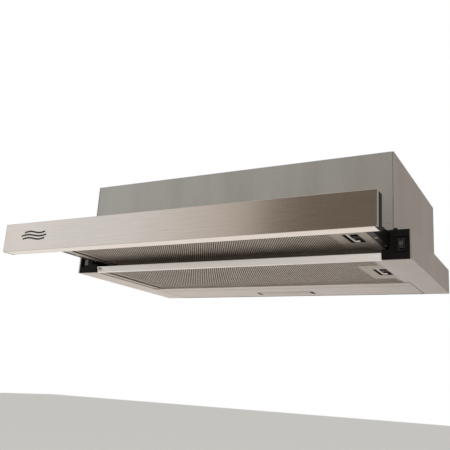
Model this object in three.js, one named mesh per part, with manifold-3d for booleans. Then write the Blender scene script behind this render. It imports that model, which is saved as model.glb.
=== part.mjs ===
// Telescopic under-cabinet range hood, in millimetres.
// +X is to the user's right, +Y points to the wall, +Z is up.
// The origin is on the rear face, in the middle of the width, level with the cabinet's underside.
import * as THREE from 'three'
import { mergeVertices } from 'three/addons/utils/BufferGeometryUtils.js'
import Module from 'manifold-3d'

const wasm = await Module()
wasm.setup()

// Whole hood
const WIDTH = 598 // outer faces of the base
const BODY_DEPTH = 300 // wall to the front of the base
const BASE_HEIGHT = 43 // underside to the ledges that meet the cabinet
const UPPER_WIDTH = 549 // upper body, which goes up into the cabinet
const UPPER_HEIGHT = 119 // ledges to the top panel
const SHEET = 1 // steel sheet
const GAP = 0.3 // between pieces that touch
const FRONT_SETBACK = 2.5 // front panel behind the front of the base
const SIDE_FLANGE = 42 // width of the flange under each side
const FLANGE_LIP = 4 // upturned inner edge of that flange
const PANEL_RETURN = 14 // folded edges of the upper panels
const PANEL_SEAM = 0.8 // open seam between the front panel and each side panel
const SIDE_RETURN = 2.5 // front edge of the side sheet, folded in beside the corner block

// Front corner blocks, switch and front strip
const BLOCK_DEPTH = 45
const BLOCK_FACE = 2 // front plate, which covers the edges of the side sheet
const BLOCK_FOOT = 15 // height of the foot that the tray's arm passes over
const SWITCH_FIELD = { width: 21, height: 23, depth: 2, inset: 3.7, rise: 10 }
const SWITCH = { width: 10.4, height: 17, depth: 24, rim: 1, rise: 21.5 }
const ROCKER = { width: 8, height: 14, proud: 2.2, hollow: 0.9, taper: 0.8, draft: 0.4 }
const BLANK = { wall: 3, width: 5, tall: 17, rise: 10, deep: 20, plug: 7, plugTall: 10, plugRise: 14 }
const STRIP = { height: 10, lip: 2.5, rise: 0.5, depth: 8, sheet: 1.2, screwInset: 6.5 }

// Tray that pulls out of the front
const TRAY_TRAVEL = 152
const CLOSED_GAP = 1 // fascia to base when the tray is shut
const FASCIA = { depth: 21.7, over: 1.6, drop: 0.4, sheet: 0.8, cap: 2.4 }
const TRAY_RISE = 20 // underside of the base to underside of the tray
const TRAY_HEADROOM = 3 // top of the arms to the cabinet level
const TRAY_OVERLAP = 50 // tray frame that stays inside the base when it is open
const ARM_WIDTH = 9
const ARM_SIDE_PLAY = 1
const ARM_STOP = 28 // rear end of the arms to the wall when the tray is shut
const TRAY_RAIL = 9.4 // width of the tray's rear rail, and of the ledge in front of its filter
const TRAY_SIDE_RAIL = 11.9 // width of the tray's side rails
const FRONT_SCREW_SHARE = 0.7 // place of the arm's front screw, as a share of the tray's travel
const GUIDE_SHEET = 1.5
const GUIDE_PLAY = 0.5
const TRAY_SWITCH = { depth: 14, tall: 12, button: 2, travel: 1.2, contact: 1.6 }

// Grease filters
const FILTER_THICK = 9
const FILTER_RIM = 6 // width of the frame around the mesh
const FILTER_HINGE_SIDE = 17 // flange edge to the filter on its hinge side
const FILTER_LATCH_SIDE = 12 // flange edge to the filter on its latch side
const FILTER_RISE = 3 // underside of the base to the fixed filter
const TRAY_FILTER_RISE = 0.6 // underside of the tray to its filter
const MESH_THICK = 2
const MESH_INSET = 0.6 // mesh above the lower face of its frame
const LATCH_PLATE = { width: 39, depth: 105, back: 1.2 }
const RECESS = { width: 21, depth: 47, edge: 2, offset: 5, tall: 7.4 }
const LATCH = { tab: 5, tall: 5, bolt: 12, boltHeight: 3, bite: 2.7, travel: 4.5, play: 0.5, rise: 2 }
const RAIL_GAP = 2 // filter to the rail beside it
const FILTER_TONGUES = { shares: [-0.3, 0.3], reach: 10, halfWidth: 12, sheet: 2 }

// Lamp panel at the rear
const LAMP_PANEL = { depth: 83, back: 7, hem: 12 }
const PANEL_CLEARANCE = 1.2 // ends of the lamp panel and rear rail to the side flanges
const REAR_RAIL = 24
const REAR_RAIL_HEM = 9
const LAMP = { width: 115, depth: 28, thick: 3, proud: 0.5, back: 40, frame: 1.4, ledge: 2, box: 14, board: 1.6 }

// Blower
const BLOWER_WIDTH = 110
const BLOWER_FLOOR = 4 // lowest point of the housing above the cabinet level
const BLOWER_WALL = 1.5
const WHEEL_CLEARANCE = 3
const SCROLL_GROWTH = 13 // how much wider the scroll is at its outlet than at its tongue
const BLOWER_FORWARD = 17 // wheel's axis ahead of the outlet's
const WHEEL_BLADES = 24
const WHEEL_GAP = 4 // end of the wheel to the side of its housing
const WHEEL = { boss: 8.8, bossHalf: 8, hubHalf: 1, ring: 2, ringDepth: 0.7 } // ringDepth is a share of the blade
const BLADE = { sheet: 1, pitch: 35, chord: 0.22 } // pitch in degrees, chord as a share of the wheel's radius
const TONGUE = { along: 0.4, up: 0.9 } // where the duct leaves the scroll, as shares of the tongue's radius
const NECK_INSET = 8 // duct from the scroll to the outlet, narrower than the outlet
const INLET_INSET = 3 // wheel's rim behind the edge of the inlet
const SHAFT_RADIUS = 4
const SHAFT_END = 9 // far end of the shaft past the wheel's middle
const MOTOR = { radius: 33, length: 56, standoff: 14 }
const BRACKET = { sheet: 2, leg: 4, overhang: 4 }

// Outlet
const COLLAR = { radius: 60, wall: 2, height: 28, flange: 70, stop: 4, flapRise: 5, bar: 7 }
const COLLAR_BACK = 150 // outlet's axis to the wall
const FLAP = { thick: 1, barrel: 1.5, clearance: 1.5 }
const SCREW = { head: 3.2, headHeight: 1.4, shank: 1.7, length: 8 }
const COLLAR_SCREW_INSET = 0.6 // inwards from the middle of the flange

// Electrical fittings
const GLAND = { radius: 8, bore: 4.2, x: -170, y: -60, over: 9, under: 12, flange: 11, flangeHeight: 3 }
const TERMINAL = { width: 70, depth: 46, tall: 30, wall: 2 }
const CAPACITOR = { radius: 15, length: 50, apart: 22 }

// Planes worked out from the sizes above
const FRONT = -BODY_DEPTH
const UNDER = -BASE_HEIGHT
const SIDE = WIDTH / 2
const UPPER_SIDE = UPPER_WIDTH / 2
const FLANGE_EDGE = SIDE - SIDE_FLANGE
const REAR_INSIDE = -SHEET - GAP
const PANEL_FRONT = FRONT + FRONT_SETBACK
const FILTER_LEFT = -FLANGE_EDGE + FILTER_HINGE_SIDE
const FILTER_RIGHT = FLANGE_EDGE - FILTER_LATCH_SIDE
const FILTER_FRONT = FRONT + STRIP.depth + RAIL_GAP
const LAMP_PANEL_FRONT = -LAMP_PANEL.back - LAMP_PANEL.depth
const REAR_RAIL_FRONT = LAMP_PANEL_FRONT - RAIL_GAP - REAR_RAIL
const FILTER_REAR = REAR_RAIL_FRONT - RAIL_GAP
const ARM_INNER = FLANGE_EDGE + ARM_SIDE_PLAY
const ARM_OUTER = ARM_INNER + ARM_WIDTH
const BLOCK_INNER = ARM_OUTER + ARM_SIDE_PLAY
const TRAY_BOTTOM = UNDER + TRAY_RISE
const TRAY_TOP = -TRAY_HEADROOM
const FASCIA_REAR = FRONT - TRAY_TRAVEL - CLOSED_GAP
const FASCIA_FRONT = FASCIA_REAR - FASCIA.depth
const FASCIA_LOW = UNDER + FASCIA.drop
const FASCIA_HIGH = FASCIA_LOW + BASE_HEIGHT + FASCIA.over
const TRAY_REAR = FRONT + TRAY_OVERLAP
const TRAY_SIDE = ARM_INNER - GAP
const ARM_REAR = -ARM_STOP - TRAY_TRAVEL
const TRAY_FILTER_FRONT = FASCIA_REAR + TRAY_RAIL
const TRAY_FILTER_REAR = TRAY_REAR - TRAY_RAIL - RAIL_GAP
const SCROLL_ROOM = (UPPER_HEIGHT - SHEET - BLOWER_FLOOR) / 2
const WHEEL_RADIUS = SCROLL_ROOM - BLOWER_WALL - WHEEL_CLEARANCE - SCROLL_GROWTH
const BLOWER_Y = -COLLAR_BACK - BLOWER_FORWARD
const BLOWER_Z = BLOWER_FLOOR + SCROLL_ROOM - GAP
const SCROLL_TOP = UPPER_HEIGHT - SHEET - GAP
const MOTOR_FACE = BLOWER_WIDTH / 2 + GAP + BLOWER_WALL + MOTOR.standoff
const FLAP_Z = UPPER_HEIGHT + GAP + COLLAR.flapRise
const BLOCK_OUTER = SIDE - SIDE_RETURN - GAP
const SWITCH_FIELD_RIGHT = SIDE - GAP - SWITCH_FIELD.inset
const SWITCH_X = SWITCH_FIELD_RIGHT - SWITCH_FIELD.width / 2
const SWITCH_Z = UNDER + SWITCH.rise
const SWITCH_FACE = FRONT + SWITCH_FIELD.depth
const STRIP_SCREW_X = -(FLANGE_EDGE - STRIP.screwInset)
const STRIP_SCREW_Z = UNDER + STRIP.rise + STRIP.height / 2
const LAMP_Y = -LAMP.back
const FASCIA_SIDE = SIDE - SHEET / 2
const ARM_SCREW_X = (ARM_INNER + ARM_OUTER) / 2
const ARM_SCREWS = [FASCIA_REAR + TRAY_TRAVEL * FRONT_SCREW_SHARE, FRONT + GAP]
const TRAY_CLOSED_ARM_END = ARM_REAR + TRAY_TRAVEL
const RECESS_RIGHT = FILTER_RIGHT - RECESS.edge
const RECESS_LEFT = RECESS_RIGHT - RECESS.width
const LATCH_PLATE_LEFT = FILTER_RIGHT - LATCH_PLATE.width
const LATCH_X = RECESS_LEFT + LATCH.travel + LATCH.play

// One filter, described by its front and rear edges and its lower face
const FIXED_FILTER = { front: FILTER_FRONT, rear: FILTER_REAR, low: UNDER + FILTER_RISE }
const TRAY_FILTER = {
  front: TRAY_FILTER_FRONT,
  rear: TRAY_FILTER_REAR,
  low: TRAY_BOTTOM + TRAY_FILTER_RISE,
}

const material = (color, roughness, metalness) =>
  new THREE.MeshStandardMaterial({ color, roughness, metalness })

const GALVANISED = material(0x8c8a7e, 0.45, 0.8)
const WARM_STEEL = material(0x8c8276, 0.45, 0.8)
const PAINTED_STEEL = material(0xc8beb9, 0.5, 0.3)
const BRUSHED_STEEL = material(0xc4bcb4, 0.32, 1)
const SATIN_ALUMINIUM = material(0xe4ded8, 0.4, 0.9)
const MESH_ALUMINIUM = material(0xa09484, 0.45, 0.9)
const BLACK_PLASTIC = material(0x1c1a19, 0.4, 0)
const GREY_PLASTIC = material(0x6e6a66, 0.5, 0)
const WHITE_PLASTIC = material(0xdcd8d0, 0.5, 0)
const FROSTED = material(0xcfc8bf, 0.6, 0)
const ZINC = material(0xb0aca6, 0.35, 1)
const COPPER = material(0x9a5b34, 0.4, 1)
const BOARD_GREEN = material(0x2f6b46, 0.6, 0)

const hood = new THREE.Group()

// A box between two corners
function block(x0, x1, y0, y1, z0, z1) {
  const box = new THREE.BoxGeometry(Math.abs(x1 - x0), Math.abs(y1 - y0), Math.abs(z1 - z0))
  return box.translate((x0 + x1) / 2, (y0 + y1) / 2, (z0 + z1) / 2)
}

// A closed outline of [x, z] points, swept along Y
function alongY(points, y0, y1) {
  const shape = new THREE.Shape(points.map(([x, z]) => new THREE.Vector2(x, z)))
  const body = new THREE.ExtrudeGeometry(shape, { depth: y1 - y0, bevelEnabled: false })
  return body.rotateX(Math.PI / 2).translate(0, y1, 0)
}

// A closed outline of [y, z] points, swept along X
function alongX(points, x0, x1) {
  const shape = new THREE.Shape(points.map(([y, z]) => new THREE.Vector2(y, z)))
  const body = new THREE.ExtrudeGeometry(shape, { depth: x1 - x0, bevelEnabled: false })
  return body.rotateX(Math.PI / 2).rotateZ(Math.PI / 2).translate(x0, 0, 0)
}

// A turned piece about a vertical axis, from [radius, z] points that close on themselves
function turned(points, segments) {
  const profile = [...points, points[0]].map(([r, z]) => new THREE.Vector2(r, z))
  return new THREE.LatheGeometry(profile, segments).rotateX(Math.PI / 2)
}

function cylinderX(radius, x0, x1, y, z, segments = 48) {
  const body = new THREE.CylinderGeometry(radius, radius, x1 - x0, segments)
  return body.rotateZ(Math.PI / 2).translate((x0 + x1) / 2, y, z)
}

function cylinderY(radius, y0, y1, x, z, segments = 24) {
  const body = new THREE.CylinderGeometry(radius, radius, y1 - y0, segments)
  return body.translate(x, (y0 + y1) / 2, z)
}

function cylinderZ(radius, z0, z1, x, y, segments = 48) {
  const body = new THREE.CylinderGeometry(radius, radius, z1 - z0, segments)
  return body.rotateX(Math.PI / 2).translate(x, y, (z0 + z1) / 2)
}

// Positions are rounded to a micron, so that faces meant to be flush are exactly flush
function toSolid(geometry) {
  const bare = geometry.clone()
  bare.deleteAttribute('normal')
  bare.deleteAttribute('uv')
  const merged = mergeVertices(bare, 1e-4)
  const vertProperties = merged.attributes.position.array.map((v) => Math.round(v * 1000) / 1000)
  const triVerts = new Uint32Array(merged.index.array)
  return new wasm.Manifold(new wasm.Mesh({ numProp: 3, vertProperties, triVerts }))
}

function toGeometry(solid) {
  const mesh = solid.getMesh()
  const geometry = new THREE.BufferGeometry()
  geometry.setAttribute('position', new THREE.BufferAttribute(mesh.vertProperties, 3))
  geometry.setIndex(new THREE.BufferAttribute(mesh.triVerts, 1))
  return geometry
}

const join = (...pieces) => toGeometry(pieces.map(toSolid).reduce((sum, piece) => sum.add(piece)))

const cut = (base, ...tools) =>
  toGeometry(tools.map(toSolid).reduce((rest, tool) => rest.subtract(tool), toSolid(base)))

function add(name, geometry, finish) {
  const mesh = new THREE.Mesh(geometry, finish)
  mesh.name = name
  hood.add(mesh)
}

// Outlines are drawn for the right side; side is 1 there and -1 on the left
const onSide = (side, points) => points.map(([x, z]) => [side * x, z])

const SIDES = { left: -1, right: 1 }

function sidePanel(side) {
  const top = UPPER_HEIGHT
  const upperInner = UPPER_SIDE - SHEET
  const skirt = onSide(side, [
    [upperInner, SHEET * 2],
    [UPPER_SIDE, SHEET * 2],
    [UPPER_SIDE, 0],
    [SIDE, 0],
    [SIDE, UNDER],
    [FLANGE_EDGE, UNDER],
    [FLANGE_EDGE, UNDER + FLANGE_LIP],
    [FLANGE_EDGE + SHEET, UNDER + FLANGE_LIP],
    [FLANGE_EDGE + SHEET, UNDER + SHEET],
    [SIDE - SHEET, UNDER + SHEET],
    [SIDE - SHEET, -SHEET],
    [upperInner, -SHEET],
  ])
  const sheet = alongY(skirt, FRONT + BLOCK_FACE + GAP, REAR_INSIDE)
  const wall = block(side * upperInner, side * UPPER_SIDE, PANEL_FRONT, REAR_INSIDE, SHEET, top)
  const returnFront = PANEL_FRONT + SHEET + GAP
  const fold = block(
    side * (UPPER_SIDE - PANEL_RETURN), side * UPPER_SIDE,
    returnFront, returnFront + SHEET,
    SHEET, top - SHEET - GAP,
  )
  const setback = block(
    side * (upperInner - SHEET), side * (UPPER_SIDE + SHEET),
    FRONT, PANEL_FRONT,
    SHEET / 2, SHEET * 3,
  )
  const frontEdge = block(
    side * (SIDE - SIDE_RETURN), side * SIDE,
    FRONT, FRONT + BLOCK_FACE + GAP + SHEET,
    UNDER, 0,
  )
  return cut(join(sheet, wall, fold, frontEdge), setback)
}

function frontPanel() {
  const half = UPPER_SIDE - SHEET - PANEL_SEAM
  const folds = PANEL_FRONT + SHEET + GAP + SHEET + GAP
  const face = block(-half, half, PANEL_FRONT, PANEL_FRONT + SHEET, GAP, UPPER_HEIGHT)
  const reach = UPPER_SIDE - PANEL_RETURN - GAP
  const top = block(-half, half, PANEL_FRONT, folds, UPPER_HEIGHT - SHEET, UPPER_HEIGHT)
  const bottom = block(-reach, reach, PANEL_FRONT, PANEL_FRONT + PANEL_RETURN, GAP, GAP + SHEET)
  return join(face, top, bottom)
}

function topPanel() {
  const half = UPPER_SIDE - SHEET - GAP
  const front = PANEL_FRONT + 2 * (SHEET + GAP) + GAP
  const sheet = block(-half, half, front, REAR_INSIDE, UPPER_HEIGHT - SHEET, UPPER_HEIGHT)
  const bore = cylinderZ(
    COLLAR.radius - COLLAR.wall, UPPER_HEIGHT - 2 * SHEET, UPPER_HEIGHT + SHEET, 0, -COLLAR_BACK,
  )
  const holes = collarScrewPlaces().map(([x, y]) =>
    cylinderZ(SCREW.shank + GAP, UPPER_HEIGHT - 2 * SHEET, UPPER_HEIGHT + SHEET, x, y, 24))
  const gland = cylinderZ(
    GLAND.radius + GAP, UPPER_HEIGHT - 2 * SHEET, UPPER_HEIGHT + SHEET, GLAND.x, GLAND.y, 32,
  )
  return cut(sheet, bore, ...holes, gland)
}

function backPanel() {
  const outline = [
    [-SIDE, UNDER], [SIDE, UNDER], [SIDE, 0], [UPPER_SIDE, 0],
    [UPPER_SIDE, UPPER_HEIGHT], [-UPPER_SIDE, UPPER_HEIGHT], [-UPPER_SIDE, 0], [-SIDE, 0],
  ]
  return alongY(outline, -SHEET, 0)
}

// Black moulding that closes each front corner of the base
function cornerBlock(side) {
  const low = UNDER + SHEET + GAP
  const inner = FLANGE_EDGE + SHEET + GAP
  const outer = BLOCK_OUTER
  const outline = onSide(side, [
    [inner, low], [outer, low], [outer, -SHEET - GAP], [BLOCK_INNER, -SHEET - GAP],
    [BLOCK_INNER, UNDER + BLOCK_FOOT], [inner, UNDER + BLOCK_FOOT],
  ])
  const face = onSide(side, [
    [FLANGE_EDGE, UNDER + STRIP.rise], [outer, UNDER + STRIP.rise], [outer, 0], [BLOCK_INNER, 0],
    [BLOCK_INNER, UNDER + BLOCK_FOOT], [FLANGE_EDGE, UNDER + BLOCK_FOOT],
  ])
  const body = alongY(outline, FRONT + BLOCK_FACE / 2, FRONT + BLOCK_DEPTH)
  return join(body, alongY(face, FRONT, FRONT + BLOCK_FACE))
}

function cornerBlockRight() {
  const field = block(
    SWITCH_FIELD_RIGHT - SWITCH_FIELD.width, SWITCH_FIELD_RIGHT,
    FRONT - 1, SWITCH_FACE,
    UNDER + SWITCH_FIELD.rise, UNDER + SWITCH_FIELD.rise + SWITCH_FIELD.height,
  )
  const halfWidth = SWITCH.width / 2 - SWITCH.rim + GAP
  const halfHeight = SWITCH.height / 2 - SWITCH.rim + GAP
  const socket = block(
    SWITCH_X - halfWidth, SWITCH_X + halfWidth,
    FRONT, FRONT + BLOCK_DEPTH + 1,
    SWITCH_Z - halfHeight, SWITCH_Z + halfHeight,
  )
  return cut(cornerBlock(SIDES.right), field, socket)
}

function cornerBlockLeft() {
  const outer = -BLOCK_OUTER
  const slot = block(
    outer + BLANK.wall, outer + BLANK.wall + BLANK.width,
    FRONT - 1, FRONT + BLANK.deep,
    UNDER + BLANK.rise, UNDER + BLANK.rise + BLANK.tall,
  )
  const plugLeft = outer + BLANK.wall + BLANK.width + BLANK.wall
  const seat = block(
    plugLeft - GAP, plugLeft + BLANK.plug + GAP,
    FRONT - 1, FRONT + BLANK.plug,
    UNDER + BLANK.plugRise - GAP, UNDER + BLANK.plugRise + BLANK.plugTall + GAP,
  )
  return cut(cornerBlock(SIDES.left), slot, seat)
}

function blankPlug() {
  const left = -BLOCK_OUTER + 2 * BLANK.wall + BLANK.width
  const low = UNDER + BLANK.plugRise
  const rear = FRONT + BLANK.plug - GAP
  return block(left, left + BLANK.plug, FRONT - SHEET / 2, rear, low, low + BLANK.plugTall)
}

// Snap-in switch: a rim, a body behind it and a pocket for the rocker
function switchFrame() {
  const halfWidth = SWITCH.width / 2
  const halfHeight = SWITCH.height / 2
  const rim = block(
    SWITCH_X - halfWidth, SWITCH_X + halfWidth,
    SWITCH_FACE - GAP - SWITCH.rim, SWITCH_FACE - GAP,
    SWITCH_Z - halfHeight, SWITCH_Z + halfHeight,
  )
  const body = block(
    SWITCH_X - halfWidth + SWITCH.rim, SWITCH_X + halfWidth - SWITCH.rim,
    SWITCH_FACE - SWITCH.rim, SWITCH_FACE + SWITCH.depth,
    SWITCH_Z - halfHeight + SWITCH.rim, SWITCH_Z + halfHeight - SWITCH.rim,
  )
  const pocket = block(
    SWITCH_X - ROCKER.width / 2 + GAP, SWITCH_X + ROCKER.width / 2 - GAP,
    SWITCH_FACE - 2 * SWITCH.rim - 1, SWITCH_FACE + ROCKER.height / 2,
    SWITCH_Z - ROCKER.height / 2 - GAP, SWITCH_Z + ROCKER.height / 2 + GAP,
  )
  return cut(join(rim, body), pocket)
}

// Rocker with a hollow face, drawn about its pivot
function rocker() {
  const half = ROCKER.height / 2 - GAP
  const pivotY = SWITCH_FACE + SWITCH.rim
  const tip = SWITCH_FACE - SWITCH.rim - GAP - ROCKER.proud
  const points = [
    [tip, SWITCH_Z + half - ROCKER.taper],
    [tip + ROCKER.hollow, SWITCH_Z],
    [tip, SWITCH_Z - half + ROCKER.taper],
    [pivotY, SWITCH_Z - half + ROCKER.draft],
    [pivotY + ROCKER.height / 4, SWITCH_Z],
    [pivotY, SWITCH_Z + half - ROCKER.draft],
  ]
  const halfWidth = ROCKER.width / 2 - 2 * GAP
  return alongX(points, SWITCH_X - halfWidth, SWITCH_X + halfWidth)
}

// Bright strip across the front of the base, between the corner blocks
function frontStrip() {
  const low = UNDER + STRIP.rise
  const high = low + STRIP.height
  const t = STRIP.sheet
  const outline = [
    [FRONT, low], [FRONT + STRIP.depth, low], [FRONT + STRIP.depth, low + t], [FRONT + t, low + t],
    [FRONT + t, high - t], [FRONT + 2 * t, high - t], [FRONT + 2 * t, high + STRIP.lip],
    [FRONT + 1.4 * t, high + STRIP.lip], [FRONT + 1.4 * t, high], [FRONT, high],
  ]
  const half = FLANGE_EDGE - GAP
  const strip = alongX(outline, -half, half)
  const hole = cylinderY(SCREW.shank + GAP, FRONT - 1, FRONT + 2 * t, STRIP_SCREW_X, STRIP_SCREW_Z)
  return cut(strip, hole)
}

// Strips that carry the fixed filter's ends, folded up beside the opening
function filterRail(side) {
  const outer = FLANGE_EDGE - GAP
  const edge = side > 0 ? FILTER_RIGHT + RAIL_GAP / 2 : -FILTER_LEFT + FILTER_RIM + SHEET
  const low = UNDER + SHEET + GAP
  const lipTop = UNDER + FILTER_RISE + LATCH.rise - 2 * GAP
  const outline = onSide(side, [
    [edge, low], [outer, low], [outer, low + SHEET],
    [edge + SHEET, low + SHEET], [edge + SHEET, lipTop], [edge, lipTop],
  ])
  const front = FRONT + STRIP.depth + GAP
  const rail = alongY(outline, front, REAR_RAIL_FRONT - GAP)
  const tabTop = UNDER + STRIP.rise + STRIP.height - STRIP.sheet
  const tab = block(side * (edge + SHEET / 2), side * outer, front, front + SHEET, low, tabTop)
  const hole = cylinderY(
    SCREW.shank + GAP / 2, front - 1, front + SHEET + 1, STRIP_SCREW_X, STRIP_SCREW_Z,
  )
  return cut(join(rail, tab), hole)
}

// Cross rail behind the fixed filter
function rearRail() {
  const front = REAR_RAIL_FRONT
  const rear = REAR_RAIL_FRONT + REAR_RAIL
  const low = UNDER
  const hem = UNDER + REAR_RAIL_HEM
  const half = FLANGE_EDGE - PANEL_CLEARANCE
  const outline = [
    [front, hem], [front, low], [rear, low], [rear, hem],
    [rear - SHEET, hem], [rear - SHEET, low + SHEET], [front + SHEET, low + SHEET], [front + SHEET, hem],
  ]
  return alongX(outline, -half, half)
}

// Panel under the rear of the base, with the lamp's window
function lampPanel() {
  const half = FLANGE_EDGE - PANEL_CLEARANCE
  const rear = LAMP_PANEL_FRONT + LAMP_PANEL.depth
  const low = UNDER
  const outline = [
    [LAMP_PANEL_FRONT, low + LAMP_PANEL.hem], [LAMP_PANEL_FRONT, low], [rear, low],
    [rear, low + LAMP_PANEL.hem], [rear - SHEET, low + LAMP_PANEL.hem], [rear - SHEET, low + SHEET],
    [LAMP_PANEL_FRONT + SHEET, low + SHEET], [LAMP_PANEL_FRONT + SHEET, low + LAMP_PANEL.hem],
  ]
  const window = lampBox(GAP, low - 1, low + LAMP_PANEL.hem)
  return cut(alongX(outline, -half, half), window)
}

// A box in the lamp's outline, grown by a margin
function lampBox(margin, z0, z1) {
  const halfWidth = LAMP.width / 2 + margin
  const halfDepth = LAMP.depth / 2 + margin
  return block(-halfWidth, halfWidth, LAMP_Y - halfDepth, LAMP_Y + halfDepth, z0, z1)
}

const lampLens = () => lampBox(-GAP, UNDER - LAMP.proud, UNDER + LAMP.thick)

function lampHousing() {
  const low = UNDER + LAMP.thick + GAP
  const shell = lampBox(LAMP.frame + LAMP.ledge, low, low + LAMP.box)
  const hollow = lampBox(0, low - 1, low + LAMP.box - LAMP.frame)
  return cut(shell, hollow)
}

function lampBoard() {
  const top = UNDER + LAMP.thick + GAP + LAMP.box - LAMP.frame - GAP
  return lampBox(-LAMP.frame, top - LAMP.board, top)
}

// Front bar of the tray: a folded steel section open at the back
function fascia() {
  const t = FASCIA.sheet
  const outline = [
    [FASCIA_REAR, FASCIA_LOW], [FASCIA_FRONT, FASCIA_LOW],
    [FASCIA_FRONT, FASCIA_HIGH], [FASCIA_REAR, FASCIA_HIGH],
    [FASCIA_REAR, FASCIA_HIGH - t], [FASCIA_FRONT + t, FASCIA_HIGH - t],
    [FASCIA_FRONT + t, FASCIA_LOW + t], [FASCIA_REAR, FASCIA_LOW + t],
  ]
  const inner = FASCIA_SIDE - FASCIA.cap - GAP
  const ends = Object.values(SIDES).map((side) => block(
    side * inner, side * SIDE, FASCIA_FRONT + t, FASCIA_REAR + 1, FASCIA_LOW - 1, FASCIA_HIGH + 1,
  ))
  return cut(alongX(outline, -FASCIA_SIDE, FASCIA_SIDE), ...ends)
}

// Plastic cap on each end of the fascia, behind its front sheet
function fasciaCap(side) {
  return block(
    side * (FASCIA_SIDE - FASCIA.cap), side * FASCIA_SIDE,
    FASCIA_FRONT + FASCIA.sheet + GAP, FASCIA_REAR,
    FASCIA_LOW, FASCIA_HIGH,
  )
}

// Front rail of the tray, which fills the middle of the fascia
function trayFrontRail() {
  const front = FASCIA_FRONT + FASCIA.sheet + GAP
  const rear = TRAY_FILTER_FRONT - RAIL_GAP / 2
  const outline = [
    [front, TRAY_BOTTOM], [rear, TRAY_BOTTOM], [rear, TRAY_BOTTOM + SHEET * 2],
    [front + SHEET, TRAY_BOTTOM + SHEET * 2], [front + SHEET, TRAY_TOP - SHEET * 2],
    [rear, TRAY_TOP - SHEET * 2], [rear, TRAY_TOP - GAP], [front, TRAY_TOP - GAP],
  ]
  return alongX(outline, -TRAY_SIDE, TRAY_SIDE)
}

function trayRearRail() {
  const front = TRAY_FILTER_REAR + RAIL_GAP / 2
  return block(
    -(TRAY_SIDE - TRAY_SIDE_RAIL - GAP), TRAY_SIDE - TRAY_SIDE_RAIL - GAP,
    front, TRAY_REAR,
    TRAY_BOTTOM, TRAY_BOTTOM + FILTER_THICK + TRAY_FILTER_RISE,
  )
}

// Angle along each side of the tray, under the ends of its filter
function traySideRail(side) {
  const inner = TRAY_SIDE - TRAY_SIDE_RAIL
  const outline = onSide(side, [
    [inner, TRAY_BOTTOM], [TRAY_SIDE, TRAY_BOTTOM], [TRAY_SIDE, TRAY_TOP - GAP],
    [TRAY_SIDE - SHEET, TRAY_TOP - GAP], [TRAY_SIDE - SHEET, TRAY_BOTTOM + SHEET],
    [inner, TRAY_BOTTOM + SHEET],
  ])
  return alongY(outline, TRAY_FILTER_FRONT - RAIL_GAP / 2 + GAP, TRAY_REAR)
}

function trayCover() {
  const front = FASCIA_FRONT + FASCIA.sheet + GAP
  return block(-TRAY_SIDE, TRAY_SIDE, front, TRAY_REAR, TRAY_TOP, TRAY_TOP + SHEET)
}

// Plastic slide on each side of the tray, which runs back into the base
function trayArm(side) {
  const low = TRAY_BOTTOM
  const bar = block(
    side * ARM_INNER, side * ARM_OUTER,
    FASCIA_FRONT + FASCIA.sheet + GAP, ARM_REAR,
    low, TRAY_TOP,
  )
  const seats = ARM_SCREWS.map((y) =>
    cylinderZ(SCREW.head + GAP, low - 1, low + SCREW.headHeight + GAP, side * ARM_SCREW_X, y, 24))
  const deep = low + SCREW.headHeight + SCREW.length + SCREW.shank + GAP
  const bores = ARM_SCREWS.map((y) =>
    cylinderZ(SCREW.shank + GAP, low, deep, side * ARM_SCREW_X, y, 24))
  return cut(bar, ...seats, ...bores)
}

// Steel channel around each arm, on a foot screwed to the side flange
function guideRail(side) {
  const inner = FLANGE_EDGE + SHEET + GAP
  const web = ARM_OUTER + GUIDE_PLAY
  const t = GUIDE_SHEET
  const foot = UNDER + SHEET + GAP
  const low = TRAY_BOTTOM - GUIDE_PLAY
  const high = TRAY_TOP + GUIDE_PLAY
  const outline = onSide(side, [
    [web, foot], [web + ARM_WIDTH, foot], [web + ARM_WIDTH, foot + t], [web + t, foot + t],
    [web + t, high + t], [inner, high + t], [inner, high],
    [web, high], [web, low], [inner, low], [inner, low - t], [web, low - t],
  ])
  return alongY(outline, FRONT + BLOCK_DEPTH + GAP, REAR_INSIDE - GAP)
}

// Switch that stops the fan when the tray is shut
function traySwitch() {
  const front = TRAY_CLOSED_ARM_END + 2 * GAP + TRAY_SWITCH.travel + GAP
  const middle = (TRAY_BOTTOM + TRAY_TOP) / 2
  const half = TRAY_SWITCH.tall / 2
  const body = block(ARM_INNER, ARM_OUTER, front, front + TRAY_SWITCH.depth, middle - half, middle + half)
  const deep = front + TRAY_SWITCH.travel + TRAY_SWITCH.contact + GAP
  const bore = cylinderY(TRAY_SWITCH.button + GAP, front - 1, deep, ARM_SCREW_X, middle)
  return cut(body, bore)
}

function traySwitchButton() {
  const tip = TRAY_CLOSED_ARM_END + 2 * GAP
  const middle = (TRAY_BOTTOM + TRAY_TOP) / 2
  return cylinderY(TRAY_SWITCH.button, tip, tip + TRAY_SWITCH.travel + TRAY_SWITCH.contact, ARM_SCREW_X, middle)
}

const latchY = (filter) => (filter.front + filter.rear) / 2 + RECESS.offset

function latchPlate(filter, margin) {
  const y = latchY(filter)
  return block(
    LATCH_PLATE_LEFT - margin, FILTER_RIGHT - FILTER_RIM / 2,
    y - LATCH_PLATE.depth / 2 - margin, y + LATCH_PLATE.depth / 2 + margin,
    filter.low, filter.low + RECESS.tall + LATCH_PLATE.back,
  )
}

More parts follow.
